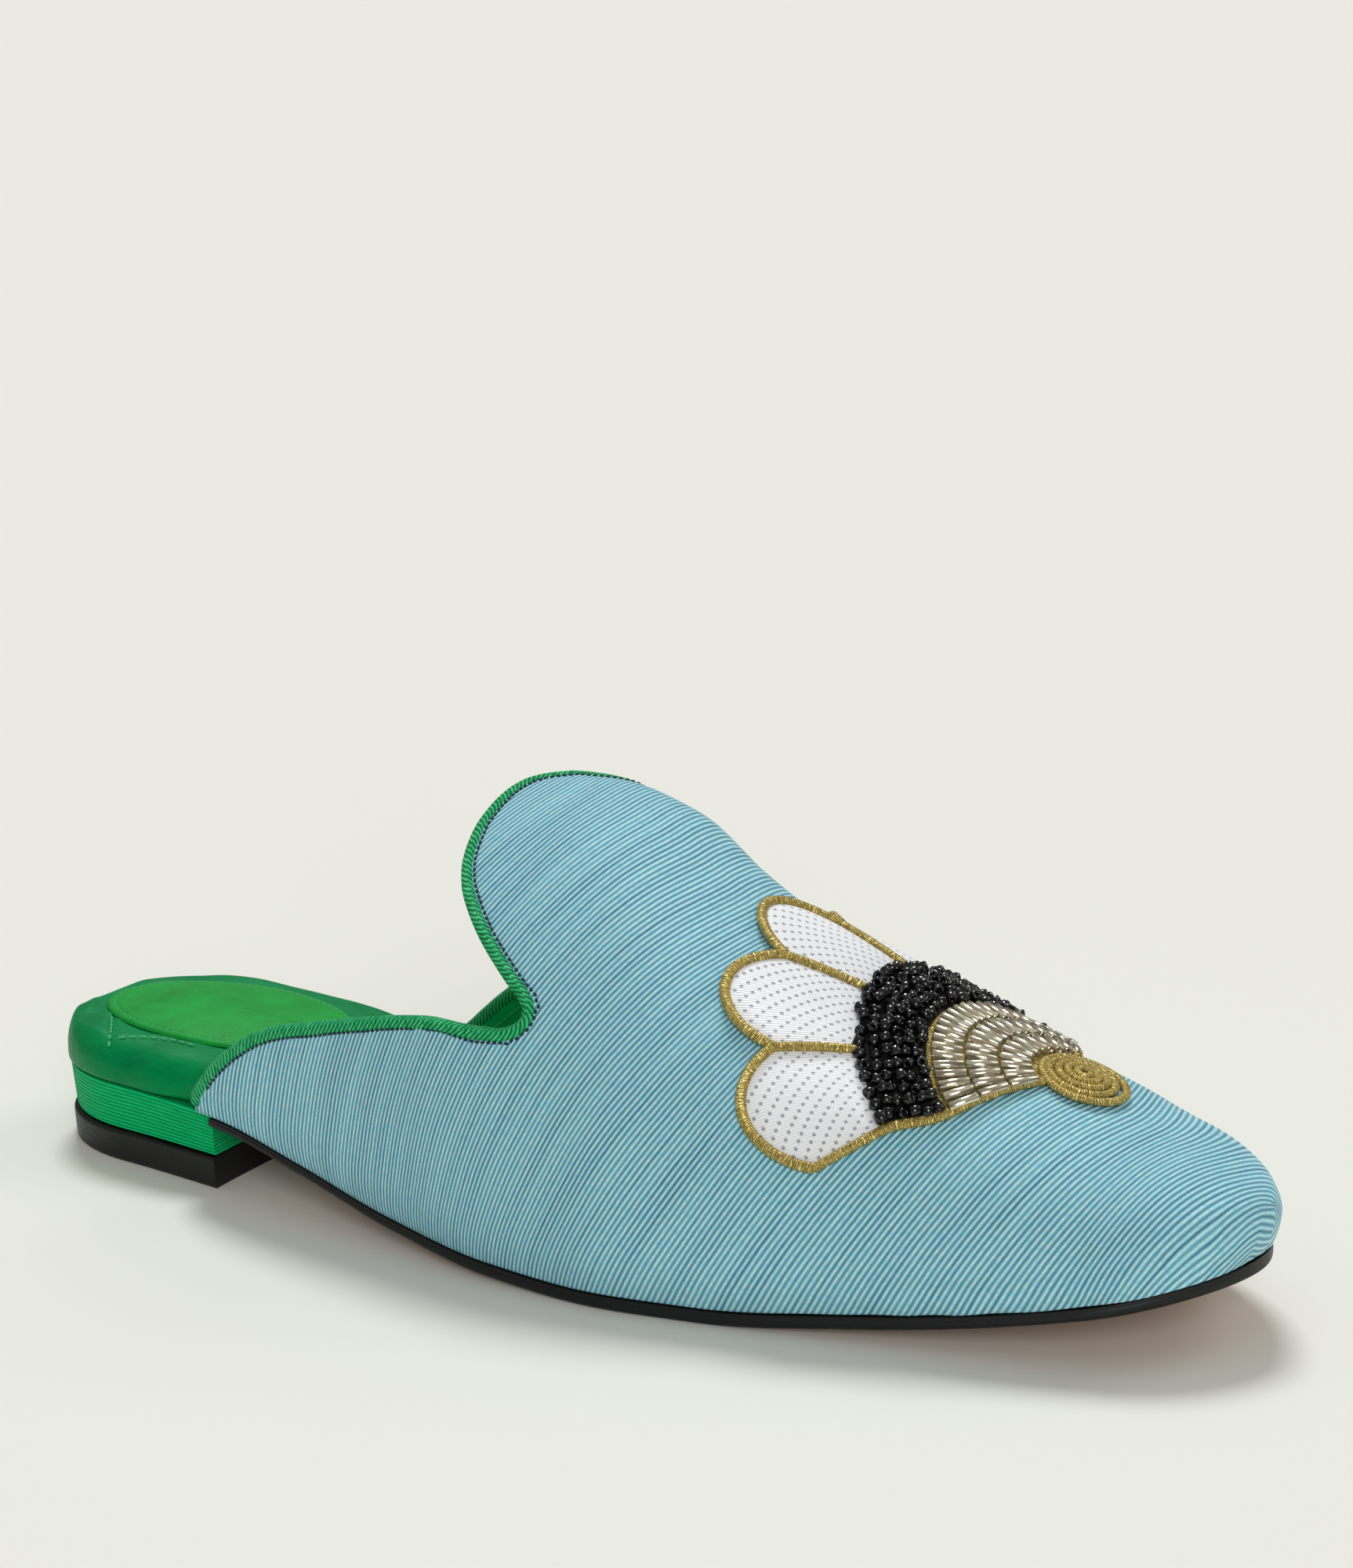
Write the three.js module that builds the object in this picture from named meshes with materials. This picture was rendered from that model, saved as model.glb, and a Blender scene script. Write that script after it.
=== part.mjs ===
// Right slipper without a back: a pointed vamp that rises into a rounded tongue, low quarters,
// a rolled binding, a wrapped footbed with a heel pad, a low stacked heel and a beaded fan.
//
// Millimetres, +Z up. While a piece is drawn, s runs from the back of the heel towards the toe,
// y is negative on the lateral (outer) side and positive on the medial (inner) side, and z is
// the height over the floor. At the end the whole slipper is moved so that the middle of the
// underside of its box is the origin, toe towards +X.
import * as THREE from 'three';
import { mergeVertices } from 'three/addons/utils/BufferGeometryUtils.js';

// Driving sizes
const LENGTH = 262; // outsole and heel together, back to toe
const HEEL_BREAST = 55; // front face of the heel
const BREAST_HOLLOW = 1.2; // how far the breast curves in at its middle
const TOP_PIECE_THICK = 6.4;
const GAP = 0.3; // clearance between neighbouring pieces
const FEATHER_GAP = 0.45; // the wall stands this far over the deck
const WALL = 1.8; // fabric, stiffener and lining together
const BINDING_RADIUS = 1.5;
const CLOTH_SETBACK = 0.35; // extra clearance where the cloth edge runs along the binding
const TOE_OVERHANG = 1.8; // the vamp bulges this far past the sole at the toe
const HEEL_ROUND = 27; // length over which the outline closes at the back
const HEEL_POWER = 2.2; // how square it closes
const TOE_ROUND = 24; // length over which the outline closes at the toe
const TOE_POWER = 2.3;
const NOSE_HEIGHT = 7; // height over the deck of the foremost point of the vamp
const NOSE_ROUND = 20; // length over which the crown comes down to the nose
const NOSE_POWER = 2.2;
const TUCK_HEIGHT = 9; // height over which the wall turns in to the feather edge
const TUCK_FALL = 2; // how much less that is at the tip of the toe
const CROWN_FALL = 1.15; // how far the crown comes down for each millimetre inwards

// Plan outline of the sole, the height of its underside, and how thick it is. Over the heel,
// under + thick is the top of the heel block.
const SOLE_ROWS = [
  { s: 0, lateral: 26.6, medial: 27.0, under: 14.2, thick: 2.2 },
  { s: 25, lateral: 27.6, medial: 28.0, under: 14.1, thick: 2.1 },
  { s: 55, lateral: 31.0, medial: 27.5, under: 13.4, thick: 2.0 },
  { s: 80, lateral: 34.4, medial: 27.0, under: 8.9, thick: 2.0 },
  { s: 105, lateral: 39.0, medial: 28.0, under: 3.9, thick: 2.3 },
  { s: 130, lateral: 43.0, medial: 31.0, under: 1.0, thick: 2.6 },
  { s: 150, lateral: 43.6, medial: 34.5, under: 0, thick: 2.7 },
  { s: 172, lateral: 40.6, medial: 37.8, under: 0, thick: 2.7 },
  { s: 200, lateral: 34.5, medial: 37.5, under: 2.2, thick: 2.7 },
  { s: 220, lateral: 30.0, medial: 34.5, under: 4.8, thick: 2.6 },
  { s: 240, lateral: 24.5, medial: 29.5, under: 8.3, thick: 2.5 },
  { s: 262, lateral: 18.0, medial: 23.0, under: 13.2, thick: 2.5 },
];

// Middle line on which the outline closes at the back and at the toe
const AXIS_ROWS = [
  { s: 0, y: 0 },
  { s: 200, y: 0 },
  { s: 240, y: 1.5 },
  { s: 262, y: 2.5 },
];

// Sections of the vamp over the last: how far the wall stands out past the sole on each side,
// the place and height of the ridge, and how square the section is down the sides, over the
// lateral crown and over the medial shoulder
const VAMP_ROWS = [
  { s: 50, lateral: 1.5, medial: 1.5, ridgeY: 1.8, ridgeZ: 79.0, side: 2.2, crown: 2.1, shoulder: 2.1 },
  { s: 90, lateral: 2.0, medial: 2.0, ridgeY: 6.6, ridgeZ: 81.2, side: 2.2, crown: 2.15, shoulder: 2.35 },
  { s: 112, lateral: 2.0, medial: 2.0, ridgeY: 9.0, ridgeZ: 82.7, side: 2.2, crown: 2.15, shoulder: 2.6 },
  { s: 126, lateral: 2.0, medial: 2.0, ridgeY: 9.0, ridgeZ: 82.2, side: 2.1, crown: 1.95, shoulder: 2.6 },
  { s: 141, lateral: 2.0, medial: 2.2, ridgeY: 8.4, ridgeZ: 78.1, side: 2.1, crown: 1.8, shoulder: 2.35 },
  { s: 154, lateral: 2.0, medial: 2.2, ridgeY: 7.2, ridgeZ: 69.0, side: 2.1, crown: 1.8, shoulder: 2.1 },
  { s: 167, lateral: 2.0, medial: 2.2, ridgeY: 6.0, ridgeZ: 61.9, side: 2.15, crown: 1.85, shoulder: 2.0 },
  { s: 180, lateral: 2.0, medial: 2.0, ridgeY: 4.9, ridgeZ: 57.1, side: 2.2, crown: 1.9, shoulder: 1.95 },
  { s: 206, lateral: 1.8, medial: 1.8, ridgeY: 3.5, ridgeZ: 46.7, side: 2.3, crown: 1.95, shoulder: 1.95 },
  { s: 231, lateral: 1.8, medial: 1.8, ridgeY: 3.0, ridgeZ: 39.2, side: 2.4, crown: 2.0, shoulder: 2.0 },
  { s: 243, lateral: 1.8, medial: 1.8, ridgeY: 3.0, ridgeZ: 34.6, side: 2.5, crown: 2.0, shoulder: 2.0 },
  { s: 264, lateral: 1.8, medial: 1.8, ridgeY: 3.0, ridgeZ: 30.6, side: 2.5, crown: 2.1, shoulder: 2.1 },
];

// Topline: how far forward the binding runs at each share of the way from the feather edge (0)
// up the wall to the ridge (1), on either side
const TOPLINE_ROWS = [
  { up: 0, lateral: 51.6, medial: 67.5 },
  { up: 0.03, lateral: 52.6, medial: 72.0 },
  { up: 0.06, lateral: 55.0, medial: 76.4 },
  { up: 0.09, lateral: 57.7, medial: 80.0 },
  { up: 0.13, lateral: 61.9, medial: 85.0 },
  { up: 0.164, lateral: 66.1, medial: 90.0 },
  { up: 0.196, lateral: 71.0, medial: 96.0 },
  { up: 0.221, lateral: 76.3, medial: 101.5 },
  { up: 0.244, lateral: 83.0, medial: 107.0 },
  { up: 0.267, lateral: 89.6, medial: 113.0 },
  { up: 0.287, lateral: 96.1, medial: 118.5 },
  { up: 0.305, lateral: 102.7, medial: 123.0 },
  { up: 0.322, lateral: 110.6, medial: 127.5 },
  { up: 0.34, lateral: 119.0, medial: 131.0 },
  { up: 0.355, lateral: 124.2, medial: 133.0 },
  { up: 0.372, lateral: 129.5, medial: 134.2 },
  { up: 0.395, lateral: 132.7, medial: 135.0 },
  { up: 0.422, lateral: 134.2, medial: 135.2 },
  { up: 0.439, lateral: 133.9, medial: 135.0 },
  { up: 0.453, lateral: 132.2, medial: 134.6 },
  { up: 0.468, lateral: 129.0, medial: 133.6 },
  { up: 0.49, lateral: 125.2, medial: 132.0 },
  { up: 0.515, lateral: 121.5, medial: 130.4 },
  { up: 0.548, lateral: 117.8, medial: 129.0 },
  { up: 0.599, lateral: 113.8, medial: 127.8 },
  { up: 0.649, lateral: 111.7, medial: 127.2 },
  { up: 0.699, lateral: 110.7, medial: 127.0 },
  { up: 0.757, lateral: 110.1, medial: 126.8 },
  { up: 0.828, lateral: 110.1, medial: 126.2 },
  { up: 0.88, lateral: 110.3, medial: 124.6 },
  { up: 0.92, lateral: 110.9, medial: 122.4 },
  { up: 0.96, lateral: 112.6, medial: 119.6 },
  { up: 1, lateral: 116.0, medial: 116.0 },
];

// Footbed: thickness over the deck, and how far its edge lies inside the outline of the sole
const FOOTBED_ROWS = [
  { s: 0, thick: 8.2, lateral: 1.0, medial: 1.0 },
  { s: 36, thick: 8.2, lateral: 1.0, medial: 1.0 },
  { s: 48, thick: 8.0, lateral: 3.0, medial: 1.2 },
  { s: 64, thick: 7.4, lateral: 2.9, medial: 3.0 },
  { s: 90, thick: 6.4, lateral: 2.8, medial: 2.9 },
  { s: 130, thick: 5.0, lateral: 2.8, medial: 2.8 },
  { s: 200, thick: 3.8, lateral: 2.8, medial: 2.8 },
  { s: 262, thick: 3.0, lateral: 2.8, medial: 2.8 },
];
const FOOTBED_EDGE_ROUND = 2.6;
const FOOTBED_FOOT = { inset: 0.8, height: 1.2 }; // bevel round its underside
const FOOTBED_TOE_GAP = 1.2; // between its tip and the inside of the vamp
const FOOTBED_BACK_THIN = 0.5; // share of its thickness left at the very back

// Heel block and top piece: how far they lie inside the outline of the sole
const BLOCK_INSET_TOP = 1.5;
const BLOCK_INSET_BOTTOM = 2.2;
const TOP_PIECE_INSET = 1.4;
const TOP_PIECE_DRAFT = 0.3; // how much more that is at the floor
const BREAST_REACH = 20; // length over which the heel curves to its breast

// Section of the edge of the sole: share of its thickness, and how far the edge lies in
const SOLE_EDGE_ROWS = [
  { share: 0, inset: 0.7 },
  { share: 0.25, inset: 0.1 },
  { share: 0.75, inset: 0 },
  { share: 1, inset: 0.4 },
];

// Heel pad: an oval cushion on the seat
const PAD = { s: 36, y: 0.5, halfLength: 30, halfWidth: 17.6, edge: 0.7, dome: 1.3, power: 2.4 };

// Fan on the vamp: bands round a centre near the toe, measured along the cloth
const FAN_CENTRE = 227;
const FAN_AXIS_Y = 3; // the middle of the fan lies this far to the medial side
const FAN_BASE = 0.5; // height of its underside over the cloth
const FAN_BANDS = {
  eye: { inner: 0, outer: 7.5, halfAngle: 180, height: 2.2 },
  bugles: { inner: 9, outer: 27, halfAngle: 58, height: 2.0 },
  beads: { inner: 28, outer: 39, halfAngle: 55, height: 2.4 },
  petals: { inner: 40, outer: 65, halfAngle: 52, height: 1.5 },
};
const PETALS = 5;
const PETAL_NOTCH = 9; // how much shorter the band is between two petals

// How finely the pieces are divided
const HEEL_DIVISIONS = { length: 16, width: 4 };
const SOLE_DIVISIONS = 44;
const FOOTBED_DIVISIONS = 32;
const PAD_DIVISIONS = 32;
const WALL_DIVISIONS = { height: 30, length: 13, toe: 9 };
const BINDING_DIVISIONS = { length: 96, round: 10 };
const BAND_DIVISIONS = { across: 4, along: 28 };
const EYE_DIVISIONS = 16;
const TOPLINE_POINTS = 90; // on either side of the tongue
const EDGE_POINTS = 700; // at which the clearance to the binding is measured
const EDGE_SEARCH = { reach: 24, step: 0.25 };
const HEIGHT_SAMPLES = 400;
const CLOTH_SAMPLES = 48;

const colour = {
  cloth: 0x8fc0d6,
  green: 0x1f9d55,
  satin: 0x14834a,
  pad: 0x3aa24a,
  block: 0x23a24c,
  black: 0x1b1c22,
  thread: 0xeef0f6,
  glass: 0xcdc2ae,
  gold: 0xc9a74a,
};

// Interpolation, outline and the surface of the vamp

const clamp = (value, low, high) => Math.min(Math.max(value, low), high);
const lerp = (a, b, t) => a + (b - a) * t;
const smooth = (t) => t * t * (3 - 2 * t);

/** Monotone cubic curve through one column of a table, flat past its ends. */
function column(rows, key, at = 's') {
  const x = rows.map((row) => row[at]);
  const y = rows.map((row) => row[key]);
  const step = x.slice(1).map((value, i) => value - x[i]);
  const slope = step.map((h, i) => (y[i + 1] - y[i]) / h);
  const tangent = x.map((_, i) => {
    if (i === 0) return slope[0];
    if (i === x.length - 1) return slope[i - 1];
    if (slope[i - 1] * slope[i] <= 0) return 0;
    const before = 2 * step[i] + step[i - 1];
    const after = step[i] + 2 * step[i - 1];
    return (before + after) / (before / slope[i - 1] + after / slope[i]);
  });
  return (value) => {
    const v = clamp(value, x[0], x[x.length - 1]);
    let i = 0;
    while (i < x.length - 2 && v > x[i + 1]) i += 1;
    const t = (v - x[i]) / step[i];
    const rise = t * t * (3 - 2 * t);
    const in0 = t * (1 - t) * (1 - t);
    const in1 = -t * t * (1 - t);
    return lerp(y[i], y[i + 1], rise) + step[i] * (in0 * tangent[i] + in1 * tangent[i + 1]);
  };
}

const lateral = column(SOLE_ROWS, 'lateral');
const medial = column(SOLE_ROWS, 'medial');
const under = column(SOLE_ROWS, 'under');
const axisY = column(AXIS_ROWS, 'y');
const soleThick = column(SOLE_ROWS, 'thick');
const deck = (s) => under(s) + soleThick(s);

const vamp = {
  lateral: column(VAMP_ROWS, 'lateral'),
  medial: column(VAMP_ROWS, 'medial'),
  ridgeY: column(VAMP_ROWS, 'ridgeY'),
  ridgeZ: column(VAMP_ROWS, 'ridgeZ'),
  side: column(VAMP_ROWS, 'side'),
  crown: column(VAMP_ROWS, 'crown'),
  shoulder: column(VAMP_ROWS, 'shoulder'),
};
const topline = {
  lateral: column(TOPLINE_ROWS, 'lateral', 'up'),
  medial: column(TOPLINE_ROWS, 'medial', 'up'),
};

/** Falls from 1 to 0 over the last `reach` before `end`, as the toe closes. */
function toeClosing(s, end, reach = TOE_ROUND, power = TOE_POWER) {
  const t = clamp((s - end + reach) / reach, 0, 1);
  return Math.sqrt(1 - t ** power);
}

/** Falls from 1 to 0 over the first `reach` after `start`, as the heel closes. */
function heelClosing(s, start, reach = HEEL_ROUND) {
  const t = clamp((start + reach - s) / reach, 0, 1);
  return (1 - t ** HEEL_POWER) ** (1 / HEEL_POWER);
}

/** Signed y of the edge of a plan outline on one side (-1 lateral, 1 medial). */
function edgeY(s, side, inset = 0) {
  const middle = axisY(s);
  const half = side < 0 ? lateral(s) + middle : medial(s) - middle;
  const close = toeClosing(s, LENGTH - inset) * heelClosing(s, inset);
  return middle + side * (half - inset) * close;
}

/**
 * Point of the vamp. u is the station along the shoe, up runs from the feather edge (0) to the
 * ridge (1), side is -1 or 1, and inset is how deep the point lies under the outer face.
 */
function vampPoint(u, up, side, inset) {
  const end = LENGTH + TOE_OVERHANG - inset;
  const close = toeClosing(u, end);
  const lower = toeClosing(u, end, NOSE_ROUND, NOSE_POWER);
  const middle = axisY(u);
  const ridgeY = lerp(middle, vamp.ridgeY(u), close);
  const overhang = side < 0 ? vamp.lateral(u) : vamp.medial(u);
  const half = (side < 0 ? lateral(u) + middle : medial(u) - middle) + overhang - inset;
  const width = Math.abs(middle + side * half * close - ridgeY);
  const crownHeight = vamp.ridgeZ(u) - CROWN_FALL * inset - deck(u) - NOSE_HEIGHT;
  const height = NOSE_HEIGHT + crownHeight * lower;
  const angle = (up * Math.PI) / 2;
  const across = Math.cos(angle) ** (2 / vamp.side(u));
  const square = side < 0 ? vamp.crown(u) : vamp.shoulder(u);
  const rise = height * Math.sin(angle) ** (2 / square);
  const tuckHeight = Math.max(NOSE_HEIGHT, TUCK_HEIGHT - TUCK_FALL * (1 - close));
  const tuck = overhang * (1 - clamp(rise / tuckHeight, 0, 1)) ** 2;
  const turned = smooth(clamp((u - end + TOE_ROUND) / TOE_ROUND, 0, 1));
  const s = u - tuck * turned;
  const y = ridgeY + side * (width - tuck * (1 - turned)) * Math.max(across, 0);
  return new THREE.Vector3(s, y, deck(s) + FEATHER_GAP + rise);
}

// Closed bodies from grids of points

/** Joins triangles into one closed geometry, without those that have no area, facing out. */
function body(points, triangles) {
  const loose = new THREE.BufferGeometry();
  const flat = points.flatMap((p) => [p.x, p.y, p.z]);
  loose.setAttribute('position', new THREE.Float32BufferAttribute(flat, 3));
  loose.setIndex(triangles.flat());
  const merged = mergeVertices(loose, 1e-3);
  const index = merged.getIndex().array;
  const kept = [];
  for (let i = 0; i < index.length; i += 3) {
    const [a, b, c] = [index[i], index[i + 1], index[i + 2]];
    if (a !== b && b !== c && a !== c) kept.push(a, b, c);
  }
  merged.setIndex(signedVolume(merged, kept) < 0 ? kept.reverse() : kept);
  return merged;
}

function signedVolume(geometry, index) {
  const position = geometry.getAttribute('position');
  const corner = (i) => new THREE.Vector3().fromBufferAttribute(position, index[i]);
  let volume = 0;
  for (let i = 0; i < index.length; i += 3) {
    volume += corner(i).dot(corner(i + 1).cross(corner(i + 2))) / 6;
  }
  return volume;
}

/** Skin over rings of equal length: rings[i][j], closed round j, with a flat cap where asked. */
function loft(rings, capFirst, capLast) {
  const count = rings[0].length;
  const points = rings.flat();
  const triangles = [];
  for (let i = 0; i + 1 < rings.length; i += 1) {
    for (let j = 0; j < count; j += 1) {
      const a = i * count + j;
      const b = i * count + ((j + 1) % count);
      triangles.push([a, b, b + count], [a, b + count, a + count]);
    }
  }
  const cap = (ring, start, outward) => {
    const outline = ring.map((p) => new THREE.Vector2(p.y, p.z));
    for (const [a, b, c] of THREE.ShapeUtils.triangulateShape(outline, [])) {
      triangles.push(outward ? [start + a, start + b, start + c] : [start + a, start + c, start + b]);
    }
  };
  if (capFirst) cap(rings[0], 0, false);
  if (capLast) cap(rings[rings.length - 1], (rings.length - 1) * count, true);
  return body(points, triangles);
}

/**
 * Sheet with thickness: two grids of points of the same layout, joined along their sides. Where
 * folded is true, the last points of the rows meet in pairs, so that side needs no strip.
 */
function slab(top, bottom, folded = false) {
  const rows = top.length;
  const columns = top[0].length;
  const size = rows * columns;
  const at = (i, j) => i * columns + j;
  const triangles = [];
  for (let i = 0; i + 1 < rows; i += 1) {
    for (let j = 0; j + 1 < columns; j += 1) {
      const [a, b, c, d] = [at(i, j), at(i + 1, j), at(i + 1, j + 1), at(i, j + 1)];
      triangles.push([a, b, c], [a, c, d]);
      triangles.push([size + a, size + c, size + b], [size + a, size + d, size + c]);
    }
  }
  const rim = [];
  for (let j = 0; j + 1 < columns; j += 1) rim.push(at(0, j));
  for (let i = 0; i + 1 < rows; i += 1) rim.push(at(i, columns - 1));
  for (let j = columns - 1; j > 0; j -= 1) rim.push(at(rows - 1, j));
  for (let i = rows - 1; i > 0; i -= 1) rim.push(at(i, 0));
  rim.forEach((a, k) => {
    const b = rim[(k + 1) % rim.length];
    const onFold = folded && a % columns === columns - 1 && b % columns === columns - 1;
    if (!onFold) triangles.push([a, b, size + b], [a, size + b, size + a]);
  });
  return body([...top.flat(), ...bottom.flat()], triangles);
}

/** Stations from a to b, closer together near whichever ends close to a point. */
function stations(a, b, count, closeFirst, closeLast) {
  return Array.from({ length: count + 1 }, (_, i) => {
    const t = i / count;
    if (closeFirst && closeLast) return lerp(a, b, (1 - Math.cos(Math.PI * t)) / 2);
    if (closeFirst) return lerp(a, b, t * t);
    if (closeLast) return lerp(a, b, 1 - (1 - t) ** 2);
    return lerp(a, b, t);
  });
}

// Heel

/** How far the breast lies back from its corners at a given y. */
function breastHollow(s, y) {
  const half = y < 0 ? lateral(s) : medial(s);
  return BREAST_HOLLOW * (1 - clamp(y / half, -1, 1) ** 2);
}

/** Block between two heights with a closed round back and a hollowed breast. */
function heelPiece(low, high, insetLow, insetHigh) {
  const front = HEEL_BREAST - GAP;
  const sides = HEEL_DIVISIONS.width;
  const rings = stations(0, 1, HEEL_DIVISIONS.length, true, false).map((t) => {
    const ring = [];
    const row = (level, inset, from, to) => {
      for (let k = 0; k <= sides; k += 1) {
        const share = lerp(from, to, k / sides);
        const s = lerp(inset, front, t);
        const y = edgeY(s, Math.sign(share) || 1, inset) * Math.abs(share);
        const hollow = breastHollow(front, y) * smooth(clamp(1 - (front - s) / BREAST_REACH, 0, 1));
        ring.push(new THREE.Vector3(s - hollow, y, level(s)));
      }
    };
    row(low, insetLow, -1, 1);
    row(high, insetHigh, 1, -1);
    return ring;
  });
  return loft(rings, false, true);
}

function heelTopPiece() {
  return heelPiece(() => 0, () => TOP_PIECE_THICK, TOP_PIECE_INSET + TOP_PIECE_DRAFT, TOP_PIECE_INSET);
}

function heelBlock() {
  return heelPiece(() => TOP_PIECE_THICK + GAP, deck, BLOCK_INSET_BOTTOM, BLOCK_INSET_TOP);
}

// Sole and footbed

function outsole() {
  const rings = stations(HEEL_BREAST, LENGTH, SOLE_DIVISIONS, false, true).map((s) => {
    const point = (side, { share, inset }) => {
      const y = edgeY(s, side) - side * inset * toeClosing(s, LENGTH);
      return new THREE.Vector3(s, y, under(s) + share * soleThick(s));
    };
    const flank = (side) => SOLE_EDGE_ROWS.map((row) => point(side, row));
    return [...flank(1), ...flank(-1).reverse()];
  });
  return loft(rings, true, false);
}

const footbed = {
  thick: column(FOOTBED_ROWS, 'thick'),
  lateral: column(FOOTBED_ROWS, 'lateral'),
  medial: column(FOOTBED_ROWS, 'medial'),
};
const FOOTBED_BACK = FOOTBED_ROWS[0].lateral;
const FOOTBED_FRONT = LENGTH - WALL - FOOTBED_TOE_GAP;
const seatZ = (s) => deck(s) + GAP + footbed.thick(s);

function footbedBody() {
  const turn = [0, 30, 60, 90].map((degrees) => (degrees * Math.PI) / 180);
  const rings = stations(FOOTBED_BACK, FOOTBED_FRONT, FOOTBED_DIVISIONS, true, true).map((s) => {
    const atBack = heelClosing(s, FOOTBED_BACK, FOOTBED_EDGE_ROUND + 1);
    const base = deck(s) + GAP;
    const thick = footbed.thick(s) * lerp(FOOTBED_BACK_THIN, 1, atBack);
    const round = Math.min(FOOTBED_EDGE_ROUND, 0.6 * thick);
    const close = heelClosing(s, FOOTBED_BACK) * toeClosing(s, FOOTBED_FRONT);
    const point = (side, inset, height) => {
      const half = side < 0 ? lateral(s) + axisY(s) : medial(s) - axisY(s);
      const edge = side < 0 ? footbed.lateral(s) : footbed.medial(s);
      const y = axisY(s) + side * (half - edge - inset) * close;
      return new THREE.Vector3(s, y, base + height);
    };
    const flank = (side) => [
      point(side, FOOTBED_FOOT.inset, 0),
      point(side, 0, FOOTBED_FOOT.height),
      ...turn.map((a) => point(side, round * (1 - Math.cos(a)), thick - round * (1 - Math.sin(a)))),
    ];
    return [...flank(1), ...flank(-1).reverse()];
  });
  return loft(rings, false, false);
}

function heelPad() {
  const around = PAD_DIVISIONS;
  const steps = [0, 0.35, 0.65, 0.88, 1];
  const at = (share, k) => {
    const angle = (2 * Math.PI * k) / around;
    const s = PAD.s + PAD.halfLength * share * Math.cos(angle);
    const y = PAD.y + PAD.halfWidth * share * Math.sin(angle);
    return [s, y];
  };
  const top = [];
  const bottom = [];
  for (const share of steps) {
    const height = PAD.edge + PAD.dome * (1 - share ** PAD.power);
    top.push(Array.from({ length: around }, (_, k) => {
      const [s, y] = at(share, k);
      return new THREE.Vector3(s, y, seatZ(s) + GAP + height);
    }));
    bottom.push(Array.from({ length: around }, (_, k) => {
      const [s, y] = at(share, k);
      return new THREE.Vector3(s, y, seatZ(s) + GAP);
    }));
  }
  return disc(top, bottom);
}

/** Two stacks of rings that share a centre, joined round their outer ring. */
function disc(top, bottom) {
  const around = top[0].length;
  const size = top.length * around;
  const triangles = [];
  for (let i = 0; i + 1 < top.length; i += 1) {
    for (let k = 0; k < around; k += 1) {
      const a = i * around + k;
      const b = i * around + ((k + 1) % around);
      triangles.push([a, a + around, b + around], [a, b + around, b]);
      triangles.push([size + a, size + b + around, size + a + around]);
      triangles.push([size + a, size + b, size + b + around]);
    }
  }
  const outer = (top.length - 1) * around;
  for (let k = 0; k < around; k += 1) {
    const a = outer + k;
    const b = outer + ((k + 1) % around);
    triangles.push([a, size + a, size + b], [a, size + b, b]);
  }
  return body([...top.flat(), ...bottom.flat()], triangles);
}

// Binding and upper

const sideKey = (side) => (side < 0 ? 'lateral' : 'medial');
const LATERAL_TAIL = 0.025; // the binding starts this far up the lateral wall
const MEDIAL_TAIL = 0.02;

/** Middle of the edge of the wall, from one side over the tongue to the other. */
function toplineCurve(lateralStart, medialStart) {
  const line = (side, first) =>
    Array.from({ length: TOPLINE_POINTS + 1 }, (_, i) => {
      const up = lerp(first, 1, i / TOPLINE_POINTS);
      return vampPoint(topline[sideKey(side)](up), up, side, WALL / 2);
    });
  const points = [...line(-1, lateralStart), ...line(1, medialStart).reverse().slice(1)];
  const curve = new THREE.CatmullRomCurve3(points, false, 'centripetal');
  curve.arcLengthDivisions = 1200;
  return curve;
}

const BINDING_LINE = toplineCurve(LATERAL_TAIL, MEDIAL_TAIL);
const WALL_EDGE_POINTS = toplineCurve(0, 0).getSpacedPoints(EDGE_POINTS);

function toplineBinding() {
  const sides = BINDING_DIVISIONS.round;
  const outline = Array.from({ length: sides }, (_, k) => {
    const angle = (2 * Math.PI * k) / sides;
    return new THREE.Vector2(BINDING_RADIUS * Math.cos(angle), BINDING_RADIUS * Math.sin(angle));
  });
  const shape = new THREE.Shape(outline);
  const steps = BINDING_DIVISIONS.length;
  const tube = new THREE.ExtrudeGeometry(shape, { steps, extrudePath: BINDING_LINE });
  tube.deleteAttribute('normal');
  tube.deleteAttribute('uv');
  return mergeVertices(tube, 1e-3);
}

/** Station where the cloth ends at a given height, so that it meets the binding at the gap. */
function clothEdge(up, side) {
  const reach = BINDING_RADIUS + GAP + CLOTH_SETBACK;
  const start = topline[sideKey(side)](up);
  const near = (u) => {
    const p = vampPoint(u, up, side, WALL / 2);
    return WALL_EDGE_POINTS.some((q) => q.distanceTo(p) < reach);
  };
  let u = start + EDGE_SEARCH.reach;
  while (u > start && !near(u)) u -= EDGE_SEARCH.step;
  return u + EDGE_SEARCH.step;
}

/** Heights of the lines that run from the topline to the toe, close together at the corner. */
function lineHeights(count) {
  const fine = HEIGHT_SAMPLES;
  const length = [0];
  for (let i = 1; i <= fine; i += 1) {
    const step = [-1, 1].map((side) => {
      const edge = topline[sideKey(side)];
      const a = vampPoint(edge((i - 1) / fine), (i - 1) / fine, side, 0);
      return a.distanceTo(vampPoint(edge(i / fine), i / fine, side, 0));
    });
    length.push(length[i - 1] + (step[0] + step[1]) / 2);
  }
  return Array.from({ length: count + 1 }, (_, k) => {
    const goal = (k / count) * length[fine];
    let i = 0;
    while (i < fine - 1 && length[i + 1] < goal) i += 1;
    return (i + (goal - length[i]) / (length[i + 1] - length[i])) / fine;
  });
}

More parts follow.
